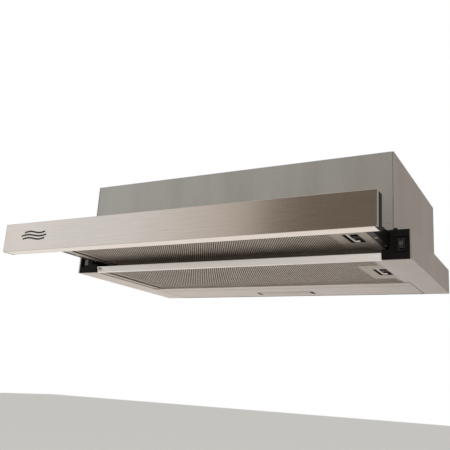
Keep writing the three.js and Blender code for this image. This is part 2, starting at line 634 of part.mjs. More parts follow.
function filterFrame(filter) {
  const top = filter.low + FILTER_THICK
  const y = latchY(filter)
  const outer = block(FILTER_LEFT, FILTER_RIGHT, filter.front, filter.rear, filter.low, top)
  const window = block(
    FILTER_LEFT + FILTER_RIM, FILTER_RIGHT - FILTER_RIM,
    filter.front + FILTER_RIM, filter.rear - FILTER_RIM,
    filter.low - 1, top + 1,
  )
  const recess = block(
    RECESS_LEFT, RECESS_RIGHT,
    y - RECESS.depth / 2, y + RECESS.depth / 2,
    filter.low - 1, filter.low + RECESS.tall,
  )
  const boltHole = block(
    RECESS_RIGHT - 1, FILTER_RIGHT + 1,
    y - LATCH.bolt / 2 - GAP, y + LATCH.bolt / 2 + GAP,
    filter.low + LATCH.rise - GAP, filter.low + LATCH.rise + LATCH.boltHeight + GAP,
  )
  const tongues = FILTER_TONGUES.shares.map((share) => {
    const middle = (filter.front + filter.rear) / 2 + share * (filter.rear - filter.front)
    return block(
      FILTER_LEFT - FILTER_TONGUES.reach, FILTER_LEFT + 1,
      middle - FILTER_TONGUES.halfWidth, middle + FILTER_TONGUES.halfWidth,
      filter.low + LATCH.rise, filter.low + LATCH.rise + FILTER_TONGUES.sheet,
    )
  })
  return join(cut(join(cut(outer, window), latchPlate(filter, 0)), recess, boltHole), ...tongues)
}

// Pad of expanded mesh inside the frame, cut back around the latch plate
function filterMesh(filter) {
  const low = filter.low + MESH_INSET
  const pad = block(
    FILTER_LEFT + FILTER_RIM + GAP, FILTER_RIGHT - FILTER_RIM - GAP,
    filter.front + FILTER_RIM + GAP, filter.rear - FILTER_RIM - GAP,
    low, low + MESH_THICK,
  )
  return cut(pad, latchPlate(filter, GAP).translate(0, 0, -1))
}

// Sprung slide with a finger tab and a bolt that reaches past the frame
function filterLatch(filter) {
  const y = latchY(filter)
  const z = filter.low + LATCH.rise
  const tab = block(
    LATCH_X, LATCH_X + LATCH.tab,
    y - RECESS.depth / 2 + 2, y + RECESS.depth / 2 - 2,
    filter.low + MESH_INSET, z + LATCH.tall,
  )
  const bolt = block(
    LATCH_X + 1, FILTER_RIGHT + RAIL_GAP / 2 + LATCH.bite,
    y - LATCH.bolt / 2, y + LATCH.bolt / 2,
    z, z + LATCH.boltHeight,
  )
  return join(tab, bolt)
}

// Points on a spiral that widens from its tongue to its outlet, as [y, z]
function spiral(margin) {
  const steps = 40
  const start = THREE.MathUtils.degToRad(60)
  const end = 2 * Math.PI
  const tongue = WHEEL_RADIUS + WHEEL_CLEARANCE + margin
  return Array.from({ length: steps + 1 }, (_, i) => {
    const angle = start + ((end - start) * i) / steps
    const radius = tongue + (SCROLL_GROWTH * i) / steps
    return [BLOWER_Y + radius * Math.cos(angle), BLOWER_Z + radius * Math.sin(angle)]
  })
}

// The duct from the scroll up to the top panel, as [y, z]
function scrollNeck(margin, top) {
  const tongue = WHEEL_RADIUS + WHEEL_CLEARANCE
  const wide = COLLAR.radius - COLLAR.wall - NECK_INSET
  return [
    [BLOWER_Y + tongue * TONGUE.along - margin, BLOWER_Z + tongue * TONGUE.up - margin],
    [-COLLAR_BACK - wide - margin, top],
    [-COLLAR_BACK + wide + margin, top],
    [BLOWER_Y + tongue + SCROLL_GROWTH + margin, BLOWER_Z],
    [BLOWER_Y, BLOWER_Z],
  ]
}

function scrollBody(margin, x0, x1, top) {
  return join(alongX(spiral(margin), x0, x1), alongX(scrollNeck(margin, top), x0, x1))
}

function scrollHousing() {
  const half = BLOWER_WIDTH / 2
  const outer = scrollBody(BLOWER_WALL, -half, half, SCROLL_TOP)
  return cut(outer, scrollBody(0, -half - 1, half + 1, SCROLL_TOP + 1))
}

function scrollSide(side) {
  const near = BLOWER_WIDTH / 2 + GAP
  const plate = scrollBody(
    BLOWER_WALL, Math.min(side * near, side * (near + BLOWER_WALL)),
    Math.max(side * near, side * (near + BLOWER_WALL)), SCROLL_TOP,
  )
  const inlet = cylinderX(WHEEL_RADIUS - INLET_INSET, -SIDE, SIDE, BLOWER_Y, BLOWER_Z)
  return cut(plate, inlet)
}

function impeller() {
  const half = BLOWER_WIDTH / 2 - WHEEL_GAP
  const chord = WHEEL_RADIUS * BLADE.chord
  const ringInner = WHEEL_RADIUS - chord * WHEEL.ringDepth
  const hub = cylinderX(WHEEL_RADIUS - 1, -WHEEL.hubHalf, WHEEL.hubHalf, BLOWER_Y, BLOWER_Z)
  const boss = cylinderX(WHEEL.boss, -WHEEL.bossHalf, WHEEL.bossHalf, BLOWER_Y, BLOWER_Z, 32)
  const blades = Array.from({ length: WHEEL_BLADES }, (_, i) => {
    const blade = new THREE.BoxGeometry(2 * half, chord, BLADE.sheet)
    blade.rotateX(THREE.MathUtils.degToRad(BLADE.pitch))
    blade.translate(0, WHEEL_RADIUS - chord / 2 - 0.5, 0)
    return blade.rotateX((2 * Math.PI * i) / WHEEL_BLADES).translate(0, BLOWER_Y, BLOWER_Z)
  })
  const rings = [-half, half - WHEEL.ring].map((x) =>
    cut(cylinderX(WHEEL_RADIUS, x, x + WHEEL.ring, BLOWER_Y, BLOWER_Z),
      cylinderX(ringInner, x - 1, x + WHEEL.ring + 1, BLOWER_Y, BLOWER_Z)))
  const bore = cylinderX(
    SHAFT_RADIUS + GAP, -WHEEL.bossHalf - 2, WHEEL.bossHalf + 2, BLOWER_Y, BLOWER_Z, 32,
  )
  return cut(join(hub, boss, ...blades, ...rings), bore)
}

const motorShaft = () =>
  cylinderX(SHAFT_RADIUS, -SHAFT_END, MOTOR_FACE + MOTOR.length / 2, BLOWER_Y, BLOWER_Z, 32)

function motor() {
  const can = cylinderX(MOTOR.radius, MOTOR_FACE, MOTOR_FACE + MOTOR.length, BLOWER_Y, BLOWER_Z)
  const bore = cylinderX(
    SHAFT_RADIUS + GAP, MOTOR_FACE - 1, MOTOR_FACE + MOTOR.length / 2 + 1, BLOWER_Y, BLOWER_Z, 32,
  )
  return cut(can, bore)
}

// Three legs that hold the motor in front of the right inlet
function motorBracket() {
  const near = BLOWER_WIDTH / 2 + GAP + BLOWER_WALL + GAP
  const far = MOTOR_FACE - GAP
  const reach = WHEEL_RADIUS + BRACKET.overhang
  const ring = cut(
    cylinderX(MOTOR.radius * 0.8, far - BRACKET.sheet, far, BLOWER_Y, BLOWER_Z),
    cylinderX(MOTOR.radius * 0.5, far - BRACKET.sheet - 1, far + 1, BLOWER_Y, BLOWER_Z),
  )
  const legs = [90, 210, 330].flatMap((degrees) => {
    const spoke = block(far - BRACKET.sheet, far, MOTOR.radius * 0.6, reach, -BRACKET.leg, BRACKET.leg)
    const foot = block(near, far - 1, reach - BRACKET.sheet, reach, -BRACKET.leg, BRACKET.leg)
    const angle = THREE.MathUtils.degToRad(degrees)
    return [spoke, foot].map((piece) => piece.rotateX(angle).translate(0, BLOWER_Y, BLOWER_Z))
  })
  return join(ring, ...legs)
}

// Round outlet with a flange, a stop ring and a bar that the flaps hinge on
function collar() {
  const base = UPPER_HEIGHT + GAP
  const inner = COLLAR.radius - COLLAR.wall
  const stop = base + COLLAR.flapRise - FLAP.barrel - 2 * GAP
  const tube = turned([
    [inner - COLLAR.stop, base], [COLLAR.flange, base], [COLLAR.flange, base + COLLAR.wall],
    [COLLAR.radius, base + COLLAR.wall], [COLLAR.radius, base + COLLAR.height],
    [inner, base + COLLAR.height], [inner, stop], [inner - COLLAR.stop, stop],
  ], 72).translate(0, -COLLAR_BACK, 0)
  const bar = block(
    -inner - 1, inner + 1, -COLLAR_BACK - COLLAR.bar / 2, -COLLAR_BACK + COLLAR.bar / 2, base, stop,
  )
  const holes = collarScrewPlaces().map(([x, y]) =>
    cylinderZ(SCREW.shank + GAP, base - 1, base + COLLAR.wall + 1, x, y, 24))
  return cut(join(tube, bar), ...holes)
}

function collarScrewPlaces() {
  const reach = (COLLAR.radius + COLLAR.flange) / 2 - COLLAR_SCREW_INSET
  return [0, 90, 180, 270].map((degrees) => {
    const angle = THREE.MathUtils.degToRad(degrees)
    return [reach * Math.cos(angle), -COLLAR_BACK + reach * Math.sin(angle)]
  })
}

// Half-round non-return flap; towards is -1 for the front one and 1 for the rear one
function flap(towards) {
  const radius = COLLAR.radius - COLLAR.wall - FLAP.clearance
  const start = FLAP.barrel + GAP
  const low = Math.asin(start / radius)
  const shape = new THREE.Shape()
  shape.absarc(0, 0, radius, low, Math.PI - low, false)
  const leaf = new THREE.ExtrudeGeometry(shape, {
    depth: FLAP.thick, bevelEnabled: false, curveSegments: 40,
  })
  leaf.rotateZ(towards > 0 ? 0 : Math.PI)
  leaf.translate(0, 0, FLAP_Z - FLAP.barrel)
  const barrelY = towards * (FLAP.barrel + GAP)
  const barrel = cylinderX(FLAP.barrel, -radius + 2, radius - 2, barrelY, FLAP_Z, 16)
  return join(leaf, barrel).translate(0, -COLLAR_BACK, 0)
}

// Screw with its head up at the origin
function screw(length) {
  const shape = [
    [0, SCREW.headHeight], [SCREW.head * 0.6, SCREW.headHeight * 0.9], [SCREW.head, 0],
    [SCREW.shank, 0], [SCREW.shank, -length], [0, -length - SCREW.shank],
  ].reverse()
  const profile = shape.map(([r, z]) => new THREE.Vector2(r, z))
  return new THREE.LatheGeometry(profile, 16).rotateX(Math.PI / 2)
}

// Cable inlet through the top panel
function cableGland() {
  const top = UPPER_HEIGHT
  return turned([
    [GLAND.bore, top - GLAND.under], [GLAND.radius, top - GLAND.under], [GLAND.radius, top + GAP],
    [GLAND.flange, top + GAP], [GLAND.flange, top + GLAND.flangeHeight], [GLAND.radius, top + GLAND.flangeHeight],
    [GLAND.radius - 1, top + GLAND.over], [GLAND.bore, top + GLAND.over],
  ], 32).translate(GLAND.x, GLAND.y, 0)
}

// Box for the mains terminals, under the top panel and around the gland's inner end
function terminalBox() {
  const x = GLAND.x
  const y = GLAND.y
  const high = UPPER_HEIGHT - SHEET - GAP
  const w = TERMINAL.width / 2
  const d = TERMINAL.depth / 2
  const t = TERMINAL.wall
  const shell = block(x - w, x + w, y - d, y + d, high - TERMINAL.tall, high)
  return cut(shell, block(x - w + t, x + w - t, y - d + t, y + d - t, high - TERMINAL.tall + t, high + 1))
}

function capacitor() {
  const x = GLAND.x + TERMINAL.width / 2 + CAPACITOR.apart
  const top = UPPER_HEIGHT - SHEET - GAP
  return cylinderZ(CAPACITOR.radius, top - CAPACITOR.length, top, x, GLAND.y, 32)
}

// Body of the hood
for (const [name, side] of Object.entries(SIDES)) {
  add(`side_panel_${name}`, sidePanel(side), GALVANISED)
  add(`guide_rail_${name}`, guideRail(side), GALVANISED)
  add(`filter_rail_${name}`, filterRail(side), PAINTED_STEEL)
}
add('front_panel', frontPanel(), GALVANISED)
add('top_panel', topPanel(), GALVANISED)
add('back_panel', backPanel(), GALVANISED)
add('corner_block_left', cornerBlockLeft(), BLACK_PLASTIC)
add('corner_block_right', cornerBlockRight(), BLACK_PLASTIC)
add('blank_plug', blankPlug(), GREY_PLASTIC)
add('front_strip', frontStrip(), SATIN_ALUMINIUM)
add('rear_rail', rearRail(), PAINTED_STEEL)
add('lamp_panel', lampPanel(), PAINTED_STEEL)

// Lamp and controls
add('lamp_lens', lampLens(), FROSTED)
add('lamp_housing', lampHousing(), WHITE_PLASTIC)
add('lamp_board', lampBoard(), BOARD_GREEN)
add('switch_frame', switchFrame(), BLACK_PLASTIC)
add('switch_rocker', rocker(), BLACK_PLASTIC)
add('tray_switch', traySwitch(), BLACK_PLASTIC)
add('tray_switch_button', traySwitchButton(), WHITE_PLASTIC)
add('terminal_box', terminalBox(), WHITE_PLASTIC)
add('cable_gland', cableGland(), BLACK_PLASTIC)
add('motor_capacitor', capacitor(), WHITE_PLASTIC)

// Blower and outlet
add('scroll_housing', scrollHousing(), GREY_PLASTIC)
add('scroll_side_left', scrollSide(SIDES.left), GREY_PLASTIC)
add('scroll_side_right', scrollSide(SIDES.right), GREY_PLASTIC)
add('impeller', impeller(), GREY_PLASTIC)
add('motor_shaft', motorShaft(), ZINC)
add('motor', motor(), COPPER)
add('motor_bracket', motorBracket(), ZINC)
add('outlet_collar', collar(), BLACK_PLASTIC)
add('flap_front', flap(-1), GREY_PLASTIC)
add('flap_rear', flap(1), GREY_PLASTIC)
collarScrewPlaces().forEach(([x, y], i) => {
  const z = UPPER_HEIGHT + 2 * GAP + COLLAR.wall
  add(`collar_screw_${i + 1}`, screw(SCREW.length).translate(x, y, z), ZINC)
})

// Filters
add('filter_frame', filterFrame(FIXED_FILTER), MESH_ALUMINIUM)
add('filter_mesh', filterMesh(FIXED_FILTER), MESH_ALUMINIUM)
add('filter_latch', filterLatch(FIXED_FILTER), SATIN_ALUMINIUM)

// Tray
add('tray_fascia', fascia(), BRUSHED_STEEL)
add('tray_front_rail', trayFrontRail(), WARM_STEEL)
add('tray_rear_rail', trayRearRail(), WARM_STEEL)
add('tray_cover', trayCover(), WARM_STEEL)
add('tray_filter_frame', filterFrame(TRAY_FILTER), MESH_ALUMINIUM)
add('tray_filter_mesh', filterMesh(TRAY_FILTER), MESH_ALUMINIUM)
add('tray_filter_latch', filterLatch(TRAY_FILTER), SATIN_ALUMINIUM)
for (const [name, side] of Object.entries(SIDES)) {
  add(`fascia_cap_${name}`, fasciaCap(side), BLACK_PLASTIC)
  add(`tray_side_rail_${name}`, traySideRail(side), SATIN_ALUMINIUM)
  add(`tray_arm_${name}`, trayArm(side), BLACK_PLASTIC)
  ARM_SCREWS.forEach((y, i) => {
    const fixed = screw(SCREW.length).rotateX(Math.PI)
    fixed.translate(side * ARM_SCREW_X, y, TRAY_BOTTOM + SCREW.headHeight)
    add(`arm_screw_${name}_${i + 1}`, fixed, ZINC)
  })
}

// Screw through the left end of the front strip
const stripScrew = screw(SCREW.length).rotateX(Math.PI / 2)
add('strip_screw', stripScrew.translate(STRIP_SCREW_X, FRONT - GAP, STRIP_SCREW_Z), ZINC)

export default hood
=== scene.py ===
"""A slide-out range hood for a 60 cm wall cabinet, seen from below with its tray pulled out."""
import math

import bmesh
import bpy
from mathutils import Matrix, Vector


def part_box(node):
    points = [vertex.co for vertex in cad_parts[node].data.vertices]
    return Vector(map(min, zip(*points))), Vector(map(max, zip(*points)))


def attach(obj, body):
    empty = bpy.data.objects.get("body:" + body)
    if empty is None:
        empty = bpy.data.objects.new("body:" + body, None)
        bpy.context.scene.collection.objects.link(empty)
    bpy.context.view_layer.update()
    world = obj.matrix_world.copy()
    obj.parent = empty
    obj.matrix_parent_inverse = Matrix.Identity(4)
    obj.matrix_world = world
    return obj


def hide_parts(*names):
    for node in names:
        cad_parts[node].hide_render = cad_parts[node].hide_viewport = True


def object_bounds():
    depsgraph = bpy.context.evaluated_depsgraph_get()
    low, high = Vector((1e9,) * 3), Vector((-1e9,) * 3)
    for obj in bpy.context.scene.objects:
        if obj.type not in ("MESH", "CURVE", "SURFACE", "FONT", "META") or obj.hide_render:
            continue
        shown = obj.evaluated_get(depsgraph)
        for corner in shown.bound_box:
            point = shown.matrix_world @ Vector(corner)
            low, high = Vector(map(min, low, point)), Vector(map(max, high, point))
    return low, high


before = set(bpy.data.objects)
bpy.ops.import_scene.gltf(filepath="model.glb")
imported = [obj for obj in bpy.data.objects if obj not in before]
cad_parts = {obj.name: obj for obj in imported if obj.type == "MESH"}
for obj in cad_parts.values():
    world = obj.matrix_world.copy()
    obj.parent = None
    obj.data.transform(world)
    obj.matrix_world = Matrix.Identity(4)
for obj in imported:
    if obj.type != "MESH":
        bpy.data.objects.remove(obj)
cad_box = [list(corner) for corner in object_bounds()]

MM = 0.001

# Camera: below the hood and to its right, turned left and up to look along the tray,
# with a slight roll. The lens is a normal one, shifted a little to the side.
camera_data = bpy.data.cameras.new("camera")
camera_data.sensor_width = 36
camera_data.lens = 48.99
camera_data.shift_x = -0.0222
camera_data.clip_start = 0.05
camera_data.clip_end = 60
camera = bpy.data.objects.new("camera", camera_data)
bpy.context.collection.objects.link(camera)
CAMERA_PLACE = (0.4788, -1.1338, -0.2282)
CAMERA_YAW = 0.503
CAMERA_PITCH = 0.260
CAMERA_ROLL = -0.062
camera.matrix_world = (
    Matrix.Translation(CAMERA_PLACE)
    @ Matrix.Rotation(CAMERA_YAW, 4, "Z")
    @ Matrix.Rotation(math.pi / 2 + CAMERA_PITCH, 4, "X")
    @ Matrix.Rotation(-CAMERA_ROLL, 4, "Z")
)
bpy.context.scene.camera = camera


def linear(hex_colour):
    """An sRGB hex colour as linear red, green, blue and alpha."""
    channels = [int(hex_colour[i:i + 2], 16) / 255 for i in (1, 3, 5)]
    return [c / 12.92 if c <= 0.04045 else ((c + 0.055) / 1.055) ** 2.4 for c in channels] + [1]


def add_node(tree, kind, inputs=None, **settings):
    """Adds a node with its settings. An input is a value, or another node's output to link."""
    node = tree.nodes.new(kind)
    for name, value in settings.items():
        setattr(node, name, value)
    for name, value in (inputs or {}).items():
        if isinstance(value, bpy.types.NodeSocket):
            tree.links.new(value, node.inputs[name])
        else:
            node.inputs[name].default_value = value
    return node


def new_material(name, **constants):
    """A material, its node tree and its shader, with the shader's constant sockets set."""
    material = bpy.data.materials.new(name)
    material.use_nodes = True
    tree = material.node_tree
    shader = tree.nodes["Principled BSDF"]
    for socket, value in constants.items():
        shader.inputs[socket.replace("_", " ")].default_value = value
    return material, tree, shader


def make_piece(name, shape, material, smooth_below=30):
    """Turns a finished bmesh into an object, shaded smooth across edges under an angle."""
    for face in shape.faces:
        face.smooth = True
    data = bpy.data.meshes.new(name)
    shape.to_mesh(data)
    shape.free()
    data.set_sharp_from_angle(angle=math.radians(smooth_below))
    data.materials.append(material)
    piece = bpy.data.objects.new(name, data)
    bpy.context.collection.objects.link(piece)
    return piece


# Floor: a plain pale studio floor, well below the hood. It is painted with matt emulsion,
# which gives an even tone with no gloss.
FLOOR_DROP = 0.75
floor_shape = bmesh.new()
bmesh.ops.create_grid(floor_shape, x_segments=2, y_segments=2, size=15)
bmesh.ops.translate(floor_shape, verts=floor_shape.verts, vec=(0, 0, cad_box[0][2] - FLOOR_DROP))
floor_paint = new_material("floor_paint", Base_Color=linear("#f4f3f1"), Roughness=0.9)[0]
floor = make_piece("floor", floor_shape, floor_paint)

# Light: a studio surround that the camera sees as white: dark and warm in front of the hood,
# bright beside that, and an even grey elsewhere. Soft boxes stand to the left, above, low in
# front and near the floor behind. A faint one inside the base stands in for scattered light.
world = bpy.data.worlds.new("studio")
bpy.context.scene.world = world
world.use_nodes = True
world_tree = world.node_tree
surround = world_tree.nodes["Background"]
surround.inputs["Strength"].default_value = 1.4
DARK_SIDE = Vector((0.1, -1, 0.2)).normalized()
# The surround's colour, from well away from the dark side to the middle of it
SURROUND = (
    (0.45, "#a4a19c"), (0.6, "#eef4fb"), (0.71, "#f1f7fe"),
    (0.8, "#d6d5d3"), (0.845, "#cbc6c2"), (0.859, "#71685f"),
)
toward = add_node(world_tree, "ShaderNodeTexCoord").outputs["Generated"]
aligned = add_node(world_tree, "ShaderNodeVectorMath", {0: toward, 1: DARK_SIDE}, operation="DOT_PRODUCT")
shade = add_node(world_tree, "ShaderNodeValToRGB", {"Fac": aligned.outputs["Value"]})
while len(shade.color_ramp.elements) < len(SURROUND):
    shade.color_ramp.elements.new(1)
for stop, (position, colour) in zip(shade.color_ramp.elements, SURROUND):
    stop.position = position
    stop.color = linear(colour)
world_tree.links.new(shade.outputs["Color"], surround.inputs["Color"])
backdrop = add_node(world_tree, "ShaderNodeBackground", {"Color": linear("#ffffff"), "Strength": 1.0})
seen = add_node(world_tree, "ShaderNodeLightPath")
choice = add_node(world_tree, "ShaderNodeMixShader", {0: seen.outputs["Is Camera Ray"]})
world_tree.links.new(surround.outputs[0], choice.inputs[1])
world_tree.links.new(backdrop.outputs[0], choice.inputs[2])
world_tree.links.new(choice.outputs[0], world_tree.nodes["World Output"].inputs["Surface"])
bpy.context.scene.view_settings.view_transform = "Standard"


def soft_box(name, place, target, size, radiance, tint="#ffffff", spread=180):
    """A rectangular light at a place, turned to a target. Its spread is in degrees."""
    data = bpy.data.lights.new(name, "AREA")
    data.shape = "RECTANGLE"
    data.size = size[0]
    data.size_y = size[1]
    data.energy = radiance * math.pi * size[0] * size[1]
    data.color = linear(tint)[:3]
    data.spread = math.radians(spread)
    light = bpy.data.objects.new(name, data)
    light.visible_camera = False
    light.matrix_world = (
        Matrix.Translation(place)
        @ (Vector(target) - Vector(place)).to_track_quat("-Z", "Y").to_matrix().to_4x4()
    )
    bpy.context.collection.objects.link(light)


HOOD_MIDDLE = (0, -0.25, 0)
soft_box("left_box", (-2.6, -1.5, 0.5), HOOD_MIDDLE, (1.9, 1.8), 0.2)
soft_box("top_box", (0.2, -0.8, 2.2), HOOD_MIDDLE, (2.0, 2.0), 0.9)
soft_box("bounce_box", (-2.3, 2.0, -0.72), (-2.3, 2.0, 0), (4.4, 5.0), 0.6, "#fffaf7")
soft_box("low_box", (0.2, -2.8, -0.6), HOOD_MIDDLE, (3.6, 0.35), 0.3, "#fffaf7", 40)
soft_box("inside_glow", (0, -0.275, -0.0295), (0, -0.275, 0), (0.5, 0.03), 0.13, "#ffeadb")


# Sheet steel body: folded from 1 mm zinc-coated sheet in a press brake and spot welded, with
# a steel guide for the tray inside each end. Every edge has the small radius that shearing
# and folding leave.
SHEET_EDGE = 0.35 * MM
GUIDE_EDGE = 0.3 * MM


def round_edges(node, radius, segments=2):
    """Merges a CAD node's loose triangles into flat faces and rounds its edges."""
    weld = node.modifiers.new("weld", "WELD")
    weld.merge_threshold = 0.01 * MM
    flatten = node.modifiers.new("flatten", "DECIMATE")
    flatten.decimate_type = "DISSOLVE"
    flatten.angle_limit = math.radians(1)
    edges = node.modifiers.new("edges", "BEVEL")
    edges.width = radius
    edges.segments = segments
    edges.limit_method = "ANGLE"
    edges.angle_limit = math.radians(40)


def finish_nodes(names, material, radius=0, segments=2):
    """Gives CAD nodes a material, and rounded edges where a radius is given."""
    for name in names:
        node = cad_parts[name]
        node.data.materials.clear()
        node.data.materials.append(material)
        if radius:
            round_edges(node, radius, segments)


def zinc_coated_steel(name, dull, bright, roughness):
    """Hot-dip zinc on steel: satin grey, with faint upright stains, a fine spangle and soft waves."""
    material, tree, shader = new_material(name, Metallic=0.9)
    place = add_node(tree, "ShaderNodeTexCoord").outputs["Object"]
    drawn_down = add_node(tree, "ShaderNodeMapping", {"Vector": place, "Scale": (1, 1, 0.15)})
    clouds = add_node(
        tree, "ShaderNodeTexNoise", {"Vector": drawn_down.outputs[0], "Scale": 1 / (60 * MM), "Detail": 4})
    # Spangle is a millimetre across: drawn at 3 mm, so that it shows
    spangle = add_node(tree, "ShaderNodeTexVoronoi", {"Vector": place, "Scale": 1 / (3 * MM)})
    speckle = add_node(
        tree, "ShaderNodeMath", {0: spangle.outputs["Color"], 1: 0.12, 2: clouds.outputs["Fac"]},
        operation="MULTIPLY_ADD",
    )
    tone = add_node(tree, "ShaderNodeValToRGB", {"Fac": speckle.outputs[0]})
    tone.color_ramp.elements[0].position = 0.38
    tone.color_ramp.elements[0].color = linear(dull)
    tone.color_ramp.elements[1].position = 0.72
    tone.color_ramp.elements[1].color = linear(bright)
    tree.links.new(tone.outputs["Color"], shader.inputs["Base Color"])
    gloss = add_node(
        tree, "ShaderNodeMapRange",
        {"Value": speckle.outputs[0], "To Min": roughness - 0.05, "To Max": roughness + 0.07},
    )
    tree.links.new(gloss.outputs[0], shader.inputs["Roughness"])
    waves = add_node(tree, "ShaderNodeTexNoise", {"Vector": place, "Scale": 1 / (45 * MM), "Detail": 1})
    dents = add_node(
        tree, "ShaderNodeBump", {"Height": waves.outputs["Fac"], "Strength": 0.25, "Distance": 0.8 * MM},
    )
    tree.links.new(dents.outputs[0], shader.inputs["Normal"])
    return material


# The front, top and back are a neutral grey. The sides and the tray take a warmer, paler copy of the same
# coat: painted light, standing in for the light that the sides and undersides catch
zinc_sheet = zinc_coated_steel("zinc_coated_sheet", "#a5a29a", "#b1aea7", 0.46)
zinc_sheet_painted_warm_light = zinc_coated_steel("zinc_coated_sheet_painted_warm_light", "#aca39c", "#b8afa9", 0.44)
finish_nodes(["front_panel", "top_panel", "back_panel"], zinc_sheet, SHEET_EDGE)
finish_nodes(["side_panel_left", "side_panel_right"], zinc_sheet_painted_warm_light, SHEET_EDGE)
finish_nodes(["guide_rail_left", "guide_rail_right"], zinc_sheet, GUIDE_EDGE)


# Rivets: blind steel rivets along the back and top panels' edges, and two small ones at each
# end of the front panel's foot. Each is a low dome with a small hole in the middle.
RIVET_RADIUS = 2.4 * MM
RIVET_SHARES = (0.08, 0.36, 0.64, 0.92)
RIVET_INSET = 9 * MM
TOP_RIVET_INSET = 7 * MM
FRONT_RIVET_RADIUS = 1.3 * MM
# Each front rivet's distance in from the panel's end, and its height
FRONT_RIVETS = ((10.4 * MM, 12.7 * MM), (4.8 * MM, 19.5 * MM))


def spin_profile(shape, profile, steps):
    """Spins a profile of [radius, height] points once about Z, and returns the new vertices."""
    before = set(shape.verts)
    verts = [shape.verts.new((radius, 0, height)) for radius, height in profile]
    edges = [shape.edges.new(pair) for pair in zip(verts, verts[1:])]
    bmesh.ops.spin(
        shape, geom=verts + edges, cent=(0, 0, 0), axis=(0, 0, 1), angle=2 * math.pi,
        steps=steps, use_merge=True,
    )
    made = [vert for vert in shape.verts if vert not in before]
    bmesh.ops.remove_doubles(shape, verts=made, dist=0.001 * MM)
    return [vert for vert in shape.verts if vert not in before]


def turn(shape, profile, steps, matrix):
    """Turns a profile into a closed skin, and places it."""
    made = spin_profile(shape, profile, steps)
    faces = list({face for vert in made for face in vert.link_faces})
    bmesh.ops.recalc_face_normals(shape, faces=faces)
    bmesh.ops.transform(shape, matrix=matrix, verts=made)


def facing(place, direction):
    """A matrix that puts the origin at a place with its Z axis along a direction."""
    turned = Vector(direction).to_track_quat("Z", "Y").to_matrix().to_4x4()
    return Matrix.Translation(place) @ turned


def rivet_head(shape, radius, place, direction):
    """A rivet's head, from its rim up over the dome and down into the hole."""
    rise = radius * 0.38
    profile = [
        (0, -0.3 * MM), (radius, -0.3 * MM), (radius, rise * 0.2),
        (radius * 0.8, rise * 0.75), (radius * 0.45, rise), (radius * 0.35, rise * 0.5), (0, rise * 0.45),
    ]
    turn(shape, profile, 12, facing(place, direction))


front_low, front_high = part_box("front_panel")
back_low, back_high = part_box("back_panel")
top_low, top_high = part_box("top_panel")
rivets = bmesh.new()
for side, end in ((-1, front_low.x), (1, front_high.x)):
    for inset, height in FRONT_RIVETS:
        rivet_head(rivets, FRONT_RIVET_RADIUS, (end - side * inset, front_low.y, height), (0, -1, 0))
for share in RIVET_SHARES:
    across = top_low.x + share * (top_high.x - top_low.x)
    rivet_head(rivets, RIVET_RADIUS, (across, back_high.y, top_high.z - RIVET_INSET), (0, 1, 0))
    rivet_head(rivets, RIVET_RADIUS, (across, back_high.y, back_low.z + RIVET_INSET), (0, 1, 0))
    rivet_head(rivets, RIVET_RADIUS, (across, top_low.y + TOP_RIVET_INSET, top_high.z), (0, 0, 1))


def drifting_finish(name, grain, dark, light, gloss=None, stops=(0, 1), detail=3, **constants):
    """A finish whose colour and gloss drift over its grain's size in mm along X, Y and Z."""
    material, tree, shader = new_material(name, **constants)
    place = add_node(tree, "ShaderNodeTexCoord").outputs["Object"]
    scaled = add_node(
        tree, "ShaderNodeMapping", {"Vector": place, "Scale": [1 / (size * MM) for size in grain]})
    noise = add_node(
        tree, "ShaderNodeTexNoise", {"Vector": scaled.outputs[0], "Scale": 1.0, "Detail": detail})
    drift = noise.outputs["Fac"]
    tone = add_node(tree, "ShaderNodeValToRGB", {"Fac": drift})
    for stop, position, colour in zip(tone.color_ramp.elements, stops, (dark, light)):
        stop.position = position
        stop.color = linear(colour)
    tree.links.new(tone.outputs["Color"], shader.inputs["Base Color"])
    if gloss:
        sheen = add_node(
            tree, "ShaderNodeMapRange", {"Value": drift, "To Min": gloss[0], "To Max": gloss[1]})
        tree.links.new(sheen.outputs[0], shader.inputs["Roughness"])
    return material, tree, shader, drift


# Zinc plating on small steel fittings: bright, with a milky bloom in spots of a few millimetres
zinc_plate = drifting_finish(
    "zinc_plated_steel", (3, 3, 3), "#9c9890", "#cfcbc2", gloss=(0.25, 0.45), Metallic=1.0)[0]
body_rivets = make_piece("body_rivets", rivets, zinc_plate)
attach(body_rivets, "hood")


# Blower: a scroll and a wheel moulded in glass-filled plastic, turned by a shaded-pole motor
# on a zinc-plated steel bracket. All of it is screwed inside the body, above the filters.


def moulded_plastic(name, colour, worn, roughness, grit):
    """Injection-moulded plastic: an even colour, paler where it is rubbed, and a fine spark grain."""
    material, tree, shader = drifting_finish(
        name, (25, 25, 25), colour, worn, gloss=(roughness - 0.06, roughness + 0.08), stops=(0.4, 0.8),
        detail=4, Specular_IOR_Level=0.08,
    )[:3]
    place = add_node(tree, "ShaderNodeTexCoord").outputs["Object"]
    grain = add_node(tree, "ShaderNodeTexNoise", {"Vector": place, "Scale": 1 / (grit * MM), "Detail": 2})
    bumps = add_node(
        tree, "ShaderNodeBump", {"Height": grain.outputs["Fac"], "Strength": 0.3, "Distance": 0.08 * MM},
    )
    tree.links.new(bumps.outputs[0], shader.inputs["Normal"])
    return material


# Grey glass-filled polyamide is dull and slightly mottled, ABS is even and a little glossier,
# and the black ABS has the dull grain of a spark-eroded mould
grey_polyamide = moulded_plastic("grey_glass_filled_polyamide", "#66625e", "#75716c", 0.5, 0.8)
white_abs = moulded_plastic("white_abs", "#d9d5cc", "#e4e1da", 0.45, 0.6)
black_abs = moulded_plastic("black_spark_grained_abs", "#151312", "#1e1b1a", 0.5, 0.7)
finish_nodes(["scroll_housing", "scroll_side_left", "scroll_side_right", "impeller"], grey_polyamide)
finish_nodes(["motor_shaft", "motor"], zinc_plate)
finish_nodes(["motor_bracket"], zinc_plate, radius=0.3 * MM)


